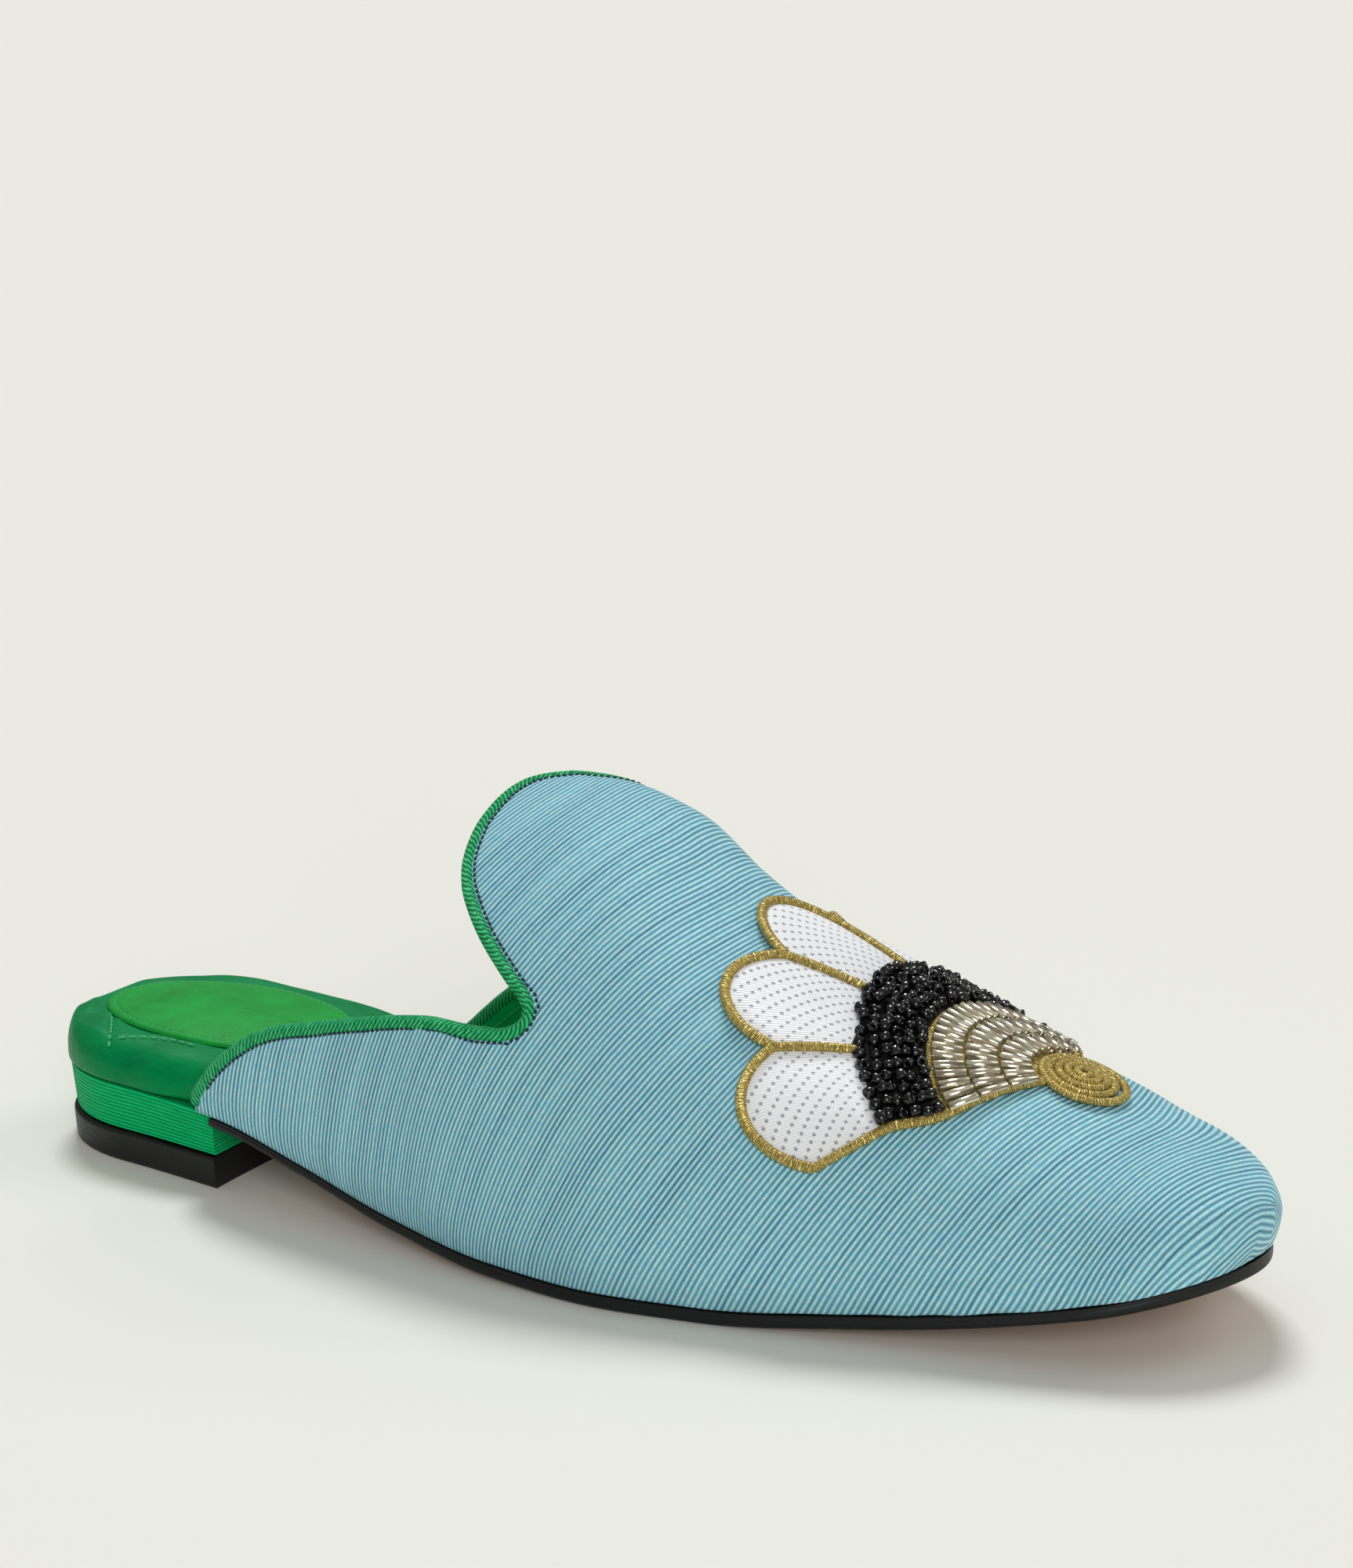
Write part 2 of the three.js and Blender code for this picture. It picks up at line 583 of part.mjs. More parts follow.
function upperBody() {
  const heights = lineHeights(WALL_DIVISIONS.height);
  const lines = [
    ...heights.map((up) => ({ up, side: -1 })),
    ...heights.slice(0, -1).reverse().map((up) => ({ up, side: 1 })),
  ];
  const skin = (inset) =>
    lines.map(({ up, side }) => {
      const start = clothEdge(up, side);
      const end = LENGTH + TOE_OVERHANG - inset;
      const bend = end - TOE_ROUND;
      const straight = stations(start, bend, WALL_DIVISIONS.length, false, false);
      const round = stations(bend, end, WALL_DIVISIONS.toe, false, true).slice(1);
      return [...straight, ...round].map((u) => vampPoint(u, up, side, inset));
    });
  return slab(skin(0), skin(WALL), true);
}

// Fan of beads and stitched petals, laid along the cloth

/** Point at a distance `along` the cloth from the ridge at station u (negative is lateral). */
function clothPoint(u, along, lift) {
  const side = along < 0 ? -1 : 1;
  const fine = CLOTH_SAMPLES;
  let last = vampPoint(u, 1, side, -lift);
  let run = 0;
  for (let i = 1; i <= fine; i += 1) {
    const next = vampPoint(u, 1 - i / fine, side, -lift);
    const step = next.distanceTo(last);
    if (run + step >= Math.abs(along)) {
      return last.clone().lerp(next, (Math.abs(along) - run) / step);
    }
    run += step;
    last = next;
  }
  return last;
}

/** Cloth point by distance and angle from the centre of the fan, angle 0 towards the tongue. */
function fanPoint(radius, degrees, lift) {
  const angle = (degrees * Math.PI) / 180;
  const u = FAN_CENTRE - radius * Math.cos(angle);
  const along = radius * Math.sin(angle) + FAN_AXIS_Y - vamp.ridgeY(u);
  return clothPoint(u, along, lift);
}

function fanBand({ inner, outer, halfAngle, height }, reach) {
  const { across, along } = BAND_DIVISIONS;
  const grid = (lift) =>
    Array.from({ length: across + 1 }, (_, i) =>
      Array.from({ length: along + 1 }, (_unused, j) => {
        const degrees = lerp(-halfAngle, halfAngle, j / along);
        const end = reach ? reach(degrees, outer) : outer;
        return fanPoint(lerp(inner, end, i / across), degrees, lift);
      }),
    );
  return slab(grid(height), grid(FAN_BASE));
}

function fanEye({ outer, height }) {
  const rings = (lift) =>
    [0, 0.6, 1].map((share) =>
      Array.from({ length: EYE_DIVISIONS }, (_, k) =>
        fanPoint(outer * share, (360 * k) / EYE_DIVISIONS, lift),
      ),
    );
  return disc(rings(height), rings(FAN_BASE));
}

/** Outer edge of the petal band: long in the middle of a petal, short between two. */
function petalReach(degrees, outer) {
  const share = ((degrees / FAN_BANDS.petals.halfAngle + 1) / 2) * PETALS;
  const within = Math.abs(2 * (share - Math.floor(share)) - 1);
  return outer - PETAL_NOTCH * within ** 2;
}

// Assembly

function piece(name, geometry, color, roughness, metalness = 0) {
  geometry.computeVertexNormals();
  const material = new THREE.MeshStandardMaterial({ color, roughness, metalness });
  const mesh = new THREE.Mesh(geometry, material);
  mesh.name = name;
  return mesh;
}

const slipper = new THREE.Group();
slipper.add(
  piece('heel_top_piece', heelTopPiece(), colour.black, 0.7),
  piece('heel_block', heelBlock(), colour.block, 0.6),
  piece('outsole', outsole(), colour.black, 0.6),
  piece('footbed', footbedBody(), colour.satin, 0.4),
  piece('heel_pad', heelPad(), colour.pad, 0.45),
  piece('upper', upperBody(), colour.cloth, 0.7),
  piece('topline_binding', toplineBinding(), colour.green, 0.55),
  piece('fan_eye', fanEye(FAN_BANDS.eye), colour.gold, 0.35, 0.8),
  piece('fan_bugle_band', fanBand(FAN_BANDS.bugles), colour.glass, 0.2),
  piece('fan_bead_band', fanBand(FAN_BANDS.beads), colour.black, 0.2),
  piece('fan_petals', fanBand(FAN_BANDS.petals, petalReach), colour.thread, 0.5),
);

const box = new THREE.Box3().setFromObject(slipper);
const middle = box.getCenter(new THREE.Vector3());
slipper.position.set(-middle.x, -middle.y, -box.min.z);

export default slipper;
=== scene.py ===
"""Babouche slipper for the right foot: ribbed cloth upper, satin footbed, low covered heel, beaded fan."""

import math

import bmesh
import bpy
import numpy as np
from mathutils import Matrix


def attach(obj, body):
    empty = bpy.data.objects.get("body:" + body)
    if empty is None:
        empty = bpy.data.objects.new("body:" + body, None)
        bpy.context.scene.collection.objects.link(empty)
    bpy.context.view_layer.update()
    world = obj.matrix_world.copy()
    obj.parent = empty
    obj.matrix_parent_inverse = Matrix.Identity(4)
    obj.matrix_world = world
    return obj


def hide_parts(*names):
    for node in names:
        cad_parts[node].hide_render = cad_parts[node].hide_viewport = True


bl_info = {
    "name": "Babouche slipper",
    "version": (1, 0, 0),
    "blender": (4, 5, 0),
    "location": "3D View > Sidebar > Slipper",
    "description": "Builds a babouche slipper piece by piece round its lasted frame",
    "category": "Object",
}

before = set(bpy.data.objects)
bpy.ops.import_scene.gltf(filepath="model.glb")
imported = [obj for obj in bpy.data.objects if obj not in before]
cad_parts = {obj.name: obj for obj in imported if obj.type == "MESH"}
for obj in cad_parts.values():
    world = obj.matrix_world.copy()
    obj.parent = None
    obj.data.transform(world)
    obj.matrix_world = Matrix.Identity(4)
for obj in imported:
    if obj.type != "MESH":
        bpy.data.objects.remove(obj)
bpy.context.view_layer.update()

# Sizes of the last, in millimetres: s from the heel to the toe, y to the medial side, z up

LENGTH = 262.0
HEEL_BREAST = 55.0
BREAST_HOLLOW = 1.2
TOP_PIECE_THICK = 6.4
GAP = 0.3
FEATHER_GAP = 0.45
WALL = 1.8
TOE_OVERHANG = 1.8
HEEL_ROUND = 27.0
TOE_ROUND = 24.0
NOSE_ROUND = 20.0
NOSE_HEIGHT = 7.0
TUCK_HEIGHT = 9.0
FOOTBED_BACK = 1.0
FOOTBED_FRONT = LENGTH - WALL - 1.2
FOOTBED_EDGE_ROUND = 2.6
FAN_CENTRE = 227.0
FAN_AXIS_Y = 3.0
ROW_ORIGIN = np.array([132.4, -2.8294, 0.0])

SOLE_ROWS = [
    # s, lateral, medial, under, thick
    (0, 26.6, 27.0, 14.2, 2.2),
    (25, 27.6, 28.0, 14.1, 2.1),
    (55, 31.0, 27.5, 13.4, 2.0),
    (80, 34.4, 27.0, 8.9, 2.0),
    (105, 39.0, 28.0, 3.9, 2.3),
    (130, 43.0, 31.0, 1.0, 2.6),
    (150, 43.6, 34.5, 0.0, 2.7),
    (172, 40.6, 37.8, 0.0, 2.7),
    (200, 34.5, 37.5, 2.2, 2.7),
    (220, 30.0, 34.5, 4.8, 2.6),
    (240, 24.5, 29.5, 8.3, 2.5),
    (262, 18.0, 23.0, 13.2, 2.5),
]
AXIS_ROWS = [
    # s, y
    (0, 0.0),
    (200, 0.0),
    (240, 1.5),
    (262, 2.5),
]
VAMP_ROWS = [
    # s, lateral overhang, medial overhang, ridge y, ridge z, side curve, crown curve, shoulder curve
    (50, 1.5, 1.5, 1.8, 79.0, 2.2, 2.1, 2.1),
    (90, 2.0, 2.0, 6.6, 81.2, 2.2, 2.15, 2.35),
    (112, 2.0, 2.0, 9.0, 82.7, 2.2, 2.15, 2.6),
    (126, 2.0, 2.0, 9.0, 82.2, 2.1, 1.95, 2.6),
    (141, 2.0, 2.2, 8.4, 78.1, 2.1, 1.8, 2.35),
    (154, 2.0, 2.2, 7.2, 69.0, 2.1, 1.8, 2.1),
    (167, 2.0, 2.2, 6.0, 61.9, 2.15, 1.85, 2.0),
    (180, 2.0, 2.0, 4.9, 57.1, 2.2, 1.9, 1.95),
    (206, 1.8, 1.8, 3.5, 46.7, 2.3, 1.95, 1.95),
    (231, 1.8, 1.8, 3.0, 39.2, 2.4, 2.0, 2.0),
    (243, 1.8, 1.8, 3.0, 34.6, 2.5, 2.0, 2.0),
    (264, 1.8, 1.8, 3.0, 30.6, 2.5, 2.1, 2.1),
]
TOPLINE_ROWS = [
    # up, lateral s, medial s
    (0, 51.6, 67.5),
    (0.03, 52.6, 72.0),
    (0.06, 55.0, 76.4),
    (0.09, 57.7, 80.0),
    (0.13, 61.9, 85.0),
    (0.164, 66.1, 90.0),
    (0.196, 71.0, 96.0),
    (0.221, 76.3, 101.5),
    (0.244, 83.0, 107.0),
    (0.267, 89.6, 113.0),
    (0.287, 96.1, 118.5),
    (0.305, 102.7, 123.0),
    (0.322, 110.6, 127.5),
    (0.34, 119.0, 131.0),
    (0.355, 124.2, 133.0),
    (0.372, 129.5, 134.2),
    (0.395, 132.7, 135.0),
    (0.422, 134.2, 135.2),
    (0.439, 133.9, 135.0),
    (0.453, 132.2, 134.6),
    (0.468, 129.0, 133.6),
    (0.49, 125.2, 132.0),
    (0.515, 121.5, 130.4),
    (0.548, 117.8, 129.0),
    (0.599, 113.8, 127.8),
    (0.649, 111.7, 127.2),
    (0.699, 110.7, 127.0),
    (0.757, 110.1, 126.8),
    (0.828, 110.1, 126.2),
    (0.88, 110.3, 124.6),
    (0.92, 110.9, 122.4),
    (0.96, 112.6, 119.6),
    (1, 116.0, 116.0),
]
FOOTBED_ROWS = [
    # s, thick, lateral inset, medial inset
    (0, 8.2, 1.0, 1.0),
    (36, 8.2, 1.0, 1.0),
    (48, 8.0, 3.0, 1.2),
    (64, 7.4, 2.9, 3.0),
    (90, 6.4, 2.8, 2.9),
    (130, 5.0, 2.8, 2.8),
    (200, 3.8, 2.8, 2.8),
    (262, 3.0, 2.8, 2.8),
]


# Curves of the last


def column(rows, index):
    """Monotone cubic curve through one column of a table, level past its ends."""
    x = np.array([row[0] for row in rows], float)
    y = np.array([row[index] for row in rows], float)
    step = np.diff(x)
    slope = np.diff(y) / step
    tangent = np.concatenate([slope[:1], np.zeros(len(x) - 2), slope[-1:]])
    for i in range(1, len(x) - 1):
        if slope[i - 1] * slope[i] > 0:
            before = 2 * step[i] + step[i - 1]
            after = step[i] + 2 * step[i - 1]
            tangent[i] = (before + after) / (before / slope[i - 1] + after / slope[i])

    def curve(value):
        v = np.clip(value, x[0], x[-1])
        i = np.clip(np.searchsorted(x, v, side="right") - 1, 0, len(step) - 1)
        t = (v - x[i]) / step[i]
        leave = t * (1 - t) ** 2 * tangent[i] * step[i]
        arrive = t * t * (1 - t) * tangent[i + 1] * step[i]
        return y[i] + (y[i + 1] - y[i]) * smooth(t) + leave - arrive

    return curve


def smooth(t):
    return t * t * (3 - 2 * t)


def ease(value, low, high):
    """Runs smoothly from 0 at low to 1 at high."""
    return smooth(np.clip((value - low) / (high - low), 0, 1))


lateral, medial, under, sole_thick = (column(SOLE_ROWS, k) for k in range(1, 5))
axis_y = column(AXIS_ROWS, 1)
overhang_l, overhang_m, ridge_y, ridge_z, side_curve, crown_curve, shoulder_curve = (
    column(VAMP_ROWS, k) for k in range(1, 8)
)
topline_l, topline_m = (column(TOPLINE_ROWS, k) for k in (1, 2))
footbed_thick, footbed_l, footbed_m = (column(FOOTBED_ROWS, k) for k in (1, 2, 3))


def deck(s):
    """Height of the upper face of the sole."""
    return under(s) + sole_thick(s)


def seat(s):
    """Height of the footbed's upper face."""
    return deck(s) + GAP + footbed_thick(s)


def toe_closing(s, end, reach=TOE_ROUND, power=2.3):
    t = np.clip((s - end + reach) / reach, 0, 1)
    return np.sqrt(np.maximum(1 - t**power, 0))


def heel_closing(s, start, reach=HEEL_ROUND):
    t = np.clip((start + reach - s) / reach, 0, 1)
    return np.maximum(1 - t**2.2, 0) ** (1 / 2.2)


def half_width(s, side):
    return np.where(side < 0, lateral(s) + axis_y(s), medial(s) - axis_y(s))


def edge_y(s, side, inset=0.0):
    """Signed y of the edge of the sole's outline, drawn in by inset."""
    close = toe_closing(s, LENGTH - inset) * heel_closing(s, inset)
    return axis_y(s) + side * (half_width(s, side) - inset) * close


def topline(up, side):
    return np.where(side < 0, topline_l(up), topline_m(up))


def vamp(u, up, side, inset=0.0):
    """Points of the upper: station u, up from the feather edge (0) to the ridge (1), side -1 or 1."""
    u, up, side = np.broadcast_arrays(u, up, side)
    end = LENGTH + TOE_OVERHANG - inset
    close = toe_closing(u, end)
    lower = toe_closing(u, end, NOSE_ROUND, 2.2)
    middle = axis_y(u)
    top_y = middle + (ridge_y(u) - middle) * close
    overhang = np.where(side < 0, overhang_l(u), overhang_m(u))
    half = half_width(u, side) + overhang - inset
    width = np.abs(middle + side * half * close - top_y)
    height = NOSE_HEIGHT + (ridge_z(u) - 1.15 * inset - deck(u) - NOSE_HEIGHT) * lower
    angle = up * math.pi / 2
    across = np.maximum(np.cos(angle), 0) ** (2 / side_curve(u))
    rise = height * np.sin(angle) ** (2 / np.where(side < 0, crown_curve(u), shoulder_curve(u)))
    tuck_height = np.maximum(NOSE_HEIGHT, TUCK_HEIGHT - 2 * (1 - close))
    tuck = overhang * (1 - np.clip(rise / tuck_height, 0, 1)) ** 2
    turned = ease(u, end - TOE_ROUND, end)
    y = top_y + side * (width - tuck * (1 - turned)) * across
    return np.stack([u - tuck * turned, y, deck(u - tuck * turned) + FEATHER_GAP + rise], axis=-1)


def cloth_point(u, along):
    """Outer face of the upper at a distance along it from the ridge; negative is lateral."""
    u, along = (a.ravel() for a in np.broadcast_arrays(np.asarray(u, float), along))
    side = np.where(along < 0, -1.0, 1.0)
    up = np.linspace(1, 0, 120)
    line = vamp(u[:, None], up[None, :], side[:, None])
    run = np.linalg.norm(np.diff(line, axis=1), axis=2).cumsum(axis=1)
    run = np.concatenate([np.zeros((len(u), 1)), run], axis=1)
    goal = np.abs(along)
    k = np.clip((run < goal[:, None]).sum(axis=1), 1, len(up) - 1)
    rows = np.arange(len(u))
    share = (goal - run[rows, k - 1]) / (run[rows, k] - run[rows, k - 1])
    return vamp(u, up[k - 1] + (up[k] - up[k - 1]) * share, side)


def unit(vectors):
    return vectors / np.maximum(np.linalg.norm(vectors, axis=-1, keepdims=True), 1e-9)


def fan_frame(radius, degrees, lift=0.0):
    """Points of the fan with their outward, sideways and upright directions.

    0 degrees is towards the tongue.
    """
    radius, degrees = np.broadcast_arrays(np.asarray(radius, float), degrees)
    shape = radius.shape

    def at(r, d):
        angle = np.radians(d)
        u = FAN_CENTRE - r * np.cos(angle)
        return cloth_point(u, r * np.sin(angle) + FAN_AXIS_Y - ridge_y(u)).reshape(shape + (3,))

    here = at(radius, degrees)
    outward = unit(at(radius + 0.3, degrees) - at(radius - 0.3, degrees))
    turn = np.degrees(0.3 / np.maximum(radius, 1.0))
    sideways = at(radius, degrees + turn) - at(radius, degrees - turn)
    upright = unit(np.cross(sideways, outward))
    upright = upright * np.sign(upright[..., 2:] + 1e-9)
    return here + upright * np.asarray(lift)[..., None], outward, np.cross(upright, outward), upright


# Meshes from grids of points


def grid_quads(rows, columns, start=0):
    i, j = np.meshgrid(np.arange(rows - 1), np.arange(columns - 1), indexing="ij")
    a = (i * columns + j + start).ravel()
    return np.stack([a, a + columns, a + columns + 1, a + 1], axis=1)


def slab(top, bottom, folded=False):
    """Sheet with thickness from two grids; folded leaves out the last column's strip, where rows meet."""
    rows, columns = top.shape[:2]
    size = rows * columns
    index = np.arange(size).reshape(rows, columns)
    rims = [(index[:, 0], False), (index[0], True), (index[-1], False)]
    if not folded:
        rims.append((index[:, -1], True))
    quads = [grid_quads(rows, columns), grid_quads(rows, columns, size)[:, ::-1]]
    for rim, turned in rims:
        strip = np.stack([rim[:-1], rim[:-1] + size, rim[1:] + size, rim[1:]], axis=1)
        quads.append(strip[:, ::-1] if turned else strip)
    points = np.concatenate([top.reshape(-1, 3), bottom.reshape(-1, 3)])
    return points, np.concatenate(quads)


def make_piece(name, points, quads, finishes, replaced, uv=None, finish_of=None):
    """One object from points in last millimetres and quads, riding on the slipper."""
    mesh = bpy.data.meshes.new(name)
    mesh.vertices.add(len(points))
    mesh.vertices.foreach_set("co", ((points - ROW_ORIGIN) / 1000).astype(np.float32).ravel())
    mesh.loops.add(quads.size)
    mesh.loops.foreach_set("vertex_index", quads.astype(np.int32).ravel())
    mesh.polygons.add(len(quads))
    mesh.polygons.foreach_set("loop_start", np.arange(0, quads.size, 4, dtype=np.int32))
    mesh.update(calc_edges=True)
    for finish in finishes:
        mesh.materials.append(finish)
    if finish_of is not None:
        mesh.polygons.foreach_set("material_index", finish_of.astype(np.int32))
    if uv is not None:
        layer = mesh.uv_layers.new(name="cut")
        layer.data.foreach_set("uv", uv[quads.ravel()].astype(np.float32).ravel())
    work = bmesh.new()
    work.from_mesh(mesh)
    bmesh.ops.remove_doubles(work, verts=work.verts, dist=2e-6)
    bmesh.ops.recalc_face_normals(work, faces=work.faces)
    work.to_mesh(mesh)
    work.free()
    mesh.polygons.foreach_set("use_smooth", np.ones(len(mesh.polygons), dtype=bool))
    piece = bpy.data.objects.new(name, mesh)
    bpy.context.scene.collection.objects.link(piece)
    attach(piece, "root")
    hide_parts(*replaced)
    return piece


def tube(path, side, radius, height=None, around=14):
    """Tube along a path of points; side is each point's sideways direction, height its half height."""
    forward = unit(np.gradient(path, axis=0))
    upright = unit(np.cross(forward, side))
    side = np.cross(upright, forward)
    angle = np.linspace(0, 2 * math.pi, around + 1)
    radius = np.broadcast_to(radius, len(path))[:, None, None]
    height = radius if height is None else np.broadcast_to(height, len(path))[:, None, None]
    cosine, sine = np.cos(angle)[:, None], np.sin(angle)[:, None]
    ring = side[:, None] * cosine * radius + upright[:, None] * sine * height
    points = path[:, None] + ring
    run = np.concatenate([[0], np.linalg.norm(np.diff(path, axis=0), axis=1).cumsum()])
    uv = np.stack(np.broadcast_arrays(run[:, None], angle[None, :]), axis=-1).reshape(-1, 2)
    ends = np.concatenate([path[:1], path[-1:]])
    count = len(path) * (around + 1)
    caps = []
    for end, row in ((0, 0), (1, len(path) - 1)):
        first = row * (around + 1) + np.arange(around)
        tip = np.full(around, count + end)
        caps.append(np.stack([first, first + 1, tip, tip], 1))
    quads = np.concatenate([grid_quads(len(path), around + 1)] + caps)
    uv = np.concatenate([uv, uv[[0, count - 1]]])
    return np.concatenate([points.reshape(-1, 3), ends]), quads, uv


def join(parts):
    """Several (points, quads, uv) sets as one."""
    start = np.cumsum([0] + [len(part[0]) for part in parts[:-1]])
    points = np.concatenate([part[0] for part in parts])
    quads = np.concatenate([part[1] + first for part, first in zip(parts, start)])
    return points, quads, np.concatenate([part[2] for part in parts])


def lay_copies(template, quads, centres, axes, sizes=None):
    """Copies of a small mesh; axes holds three directions a copy, for its own x, y and z."""
    shaped = template[None] if sizes is None else template[None] * sizes[:, None]
    shaped = np.broadcast_to(shaped, (len(centres),) + template.shape)
    points = centres[:, None] + np.einsum("nij,njk->nik", shaped, axes)
    starts = np.arange(len(centres)) * len(template)
    return points.reshape(-1, 3), (quads[None] + starts[:, None, None]).reshape(-1, 4)


def even_path(points, step):
    """The same line with points at an even distance."""
    run = np.concatenate([[0], np.linalg.norm(np.diff(points, axis=0), axis=1).cumsum()])
    count = max(int(run[-1] / step), 2)
    goal = np.linspace(0, run[-1], count + 1)
    return np.stack([np.interp(goal, run, points[:, k]) for k in range(3)], axis=1)


def stitches(path, side, upright, pitch, length, thick, rise=0.12):
    """Short rounded stitches along a path, with their own axes along it."""
    run = np.concatenate([[0], np.linalg.norm(np.diff(path, axis=0), axis=1).cumsum()])
    centres = np.arange(pitch, run[-1] - pitch / 2, pitch)
    at = lambda values, goal: np.stack([np.interp(goal, run, values[:, k]) for k in range(3)], axis=1)
    along = unit(at(path, centres + length / 2) - at(path, centres - length / 2))
    across = unit(at(side, centres))
    lifted = at(path, centres) + unit(at(upright, centres)) * rise
    axes = np.stack([along, across, np.cross(along, across)], axis=1)
    theta = np.linspace(0, math.pi, 7)
    phi = np.linspace(0, 2 * math.pi, 9)
    form = np.stack(
        [
            np.broadcast_to(-np.cos(theta)[:, None] * length / 2, (7, 9)),
            np.sin(theta)[:, None] ** 0.5 * np.cos(phi) * thick / 2,
            np.sin(theta)[:, None] ** 0.5 * np.sin(phi) * thick / 2,
        ],
        axis=-1,
    ).reshape(-1, 3)
    points, quads = lay_copies(form, grid_quads(7, 9), lifted, axes)
    return points, quads, np.zeros((len(points), 2))


# Materials


class Finish:
    """A node material round one shader, with short calls for its patterns."""

    def __init__(self, name, **sockets):
        self.material = bpy.data.materials.new(name)
        self.material.use_nodes = True
        self.tree = self.material.node_tree
        self.shader = self.tree.nodes["Principled BSDF"]
        for socket, value in sockets.items():
            self.shader.inputs[socket.replace("_", " ")].default_value = value

    def node(self, kind, inputs=None, **settings):
        made = self.tree.nodes.new("ShaderNode" + kind)
        for key, value in settings.items():
            setattr(made, key, value)
        for key, value in (inputs or {}).items():
            if isinstance(value, bpy.types.NodeSocket):
                self.tree.links.new(value, made.inputs[key])
            else:
                made.inputs[key].default_value = value
        return made

    def math(self, operation, a, b=0.0, c=0.0):
        return self.node("Math", {0: a, 1: b, 2: c}, operation=operation).outputs[0]

    def mix(self, share, a, b):
        made = self.node("Mix", {0: share, 6: a, 7: b}, data_type="RGBA")
        return made.outputs[2]

    def cut(self):
        """The piece's own two lengths over its surface, in millimetres."""
        split = self.node("SeparateXYZ", {0: self.node("UVMap", uv_map="cut").outputs[0]})
        return split.outputs[0], split.outputs[1]

    def place(self, scale=(1000.0, 1000.0, 1000.0)):
        """Object position in millimetres, stretched by scale."""
        where = self.node("TexCoord").outputs["Object"]
        return self.node("Mapping", {"Vector": where, "Scale": scale}).outputs[0]

    def join_xyz(self, x, y):
        return self.node("CombineXYZ", {0: x, 1: y}).outputs[0]

    def noise(self, where, scale, detail=2.0, roughness=0.5, distortion=0.0):
        inputs = {"Vector": where, "Scale": scale, "Detail": detail}
        inputs.update({"Roughness": roughness, "Distortion": distortion})
        return self.node("TexNoise", inputs).outputs[0]

    def streaks(self, first, second, fine, long, detail=4.0, roughness=0.6):
        """Noise over the piece's own two lengths, each with its own scale."""
        where = self.join_xyz(self.math("MULTIPLY", first, fine), self.math("MULTIPLY", second, long))
        return self.noise(where, 1.0, detail, roughness)

    def span(self, value, low, high, to_low=0.0, to_high=1.0):
        inputs = {"Value": value, "From Min": low, "From Max": high, "To Min": to_low, "To Max": to_high}
        return self.node("MapRange", inputs, clamp=True).outputs[0]

    def ribs(self, distance, pitch):
        """Rounded ridges with narrow grooves: 1 on a ridge and 0 in a groove."""
        turns = self.math("MULTIPLY", distance, math.pi / pitch)
        return self.math("ABSOLUTE", self.math("SINE", turns))

    def wave(self, distance, pitch):
        """Even ridges and grooves: 1 on a ridge and 0 in a groove."""
        turns = self.math("COSINE", self.math("MULTIPLY", distance, 2 * math.pi / pitch))
        return self.math("MULTIPLY_ADD", turns, -0.5, 0.5)

    def colour(self, socket):
        self.tree.links.new(socket, self.shader.inputs["Base Color"])

    def roughness(self, socket):
        self.tree.links.new(socket, self.shader.inputs["Roughness"])

    def bump(self, height, millimetres, strength=1.0, under=None):
        inputs = {"Height": height, "Distance": millimetres / 1000, "Strength": strength}
        if under is not None:
            inputs["Normal"] = under
        made = self.node("Bump", inputs).outputs[0]
        self.tree.links.new(made, self.shader.inputs["Normal"])
        return made


def shade(colour, factor):
    return tuple(min(c * factor, 1.0) for c in colour[:3]) + (1.0,)


def blend(a, b, share):
    return tuple(x + (y - x) * share for x, y in zip(a, b))


def ribbed_cloth_finish(colours, sizes):
    """Weave with a fat rib: pale lustrous crests over deep grooves, streaked along the ribs."""
    f = Finish("ribbed_cloth", Roughness=0.42, Specular_IOR_Level=0.3, Specular_Tint=(0.6, 0.95, 1.0, 1.0))
    # The groove colour is painted shade and the crest colour painted highlight.
    middle, deep, pale = (tuple(c) for c in (colours.cloth, colours.cloth_groove_shade, colours.cloth_crest_highlight))
    across, along = f.cut()
    wander = f.streaks(across, along, 0.05, 0.06, 3.0, 0.5)
    bent = f.math("ADD", across, f.math("MULTIPLY", wander, 0.35))
    rib = f.wave(bent, mm(sizes.rib_pitch))
    streak = f.streaks(bent, along, 0.6, 0.02)
    fibre = f.streaks(bent, along, 1.8, 0.75, 4.0, 0.65)
    warp = f.ribs(f.math("ADD", along, f.math("MULTIPLY", fibre, 1.2)), 0.42)
    # Painted shade in the grooves between the ribs, lighter along the streaks.
    groove = f.mix(f.span(streak, 0.3, 0.7), deep, blend(deep, middle, 0.45))
    # Painted highlight on the crests, brightest along the fibres and dimmed along the streaks.
    crest = f.mix(f.span(fibre, 0.28, 0.58), middle, pale)
    crest = f.mix(f.span(streak, 0.34, 0.6, 0.22, 0.0), crest, blend(deep, middle, 0.75))
    # Painted highlight on each rib's crest fades to painted shade in its groove.
    lit = f.mix(f.math("POWER", rib, 0.72), groove, crest)
    # Between the warp threads the colour darkens towards the groove's painted shade.
    f.colour(f.mix(f.math("MULTIPLY", f.math("SUBTRACT", 1.0, warp), 0.14), lit, deep))
    f.roughness(f.span(fibre, 0.3, 0.7, 0.34, 0.52))
    first = f.bump(rib, 0.28, 1.0)
    f.bump(f.math("ADD", f.math("MULTIPLY", warp, 0.5), fibre), 0.1, 0.8, first)
    return f.material


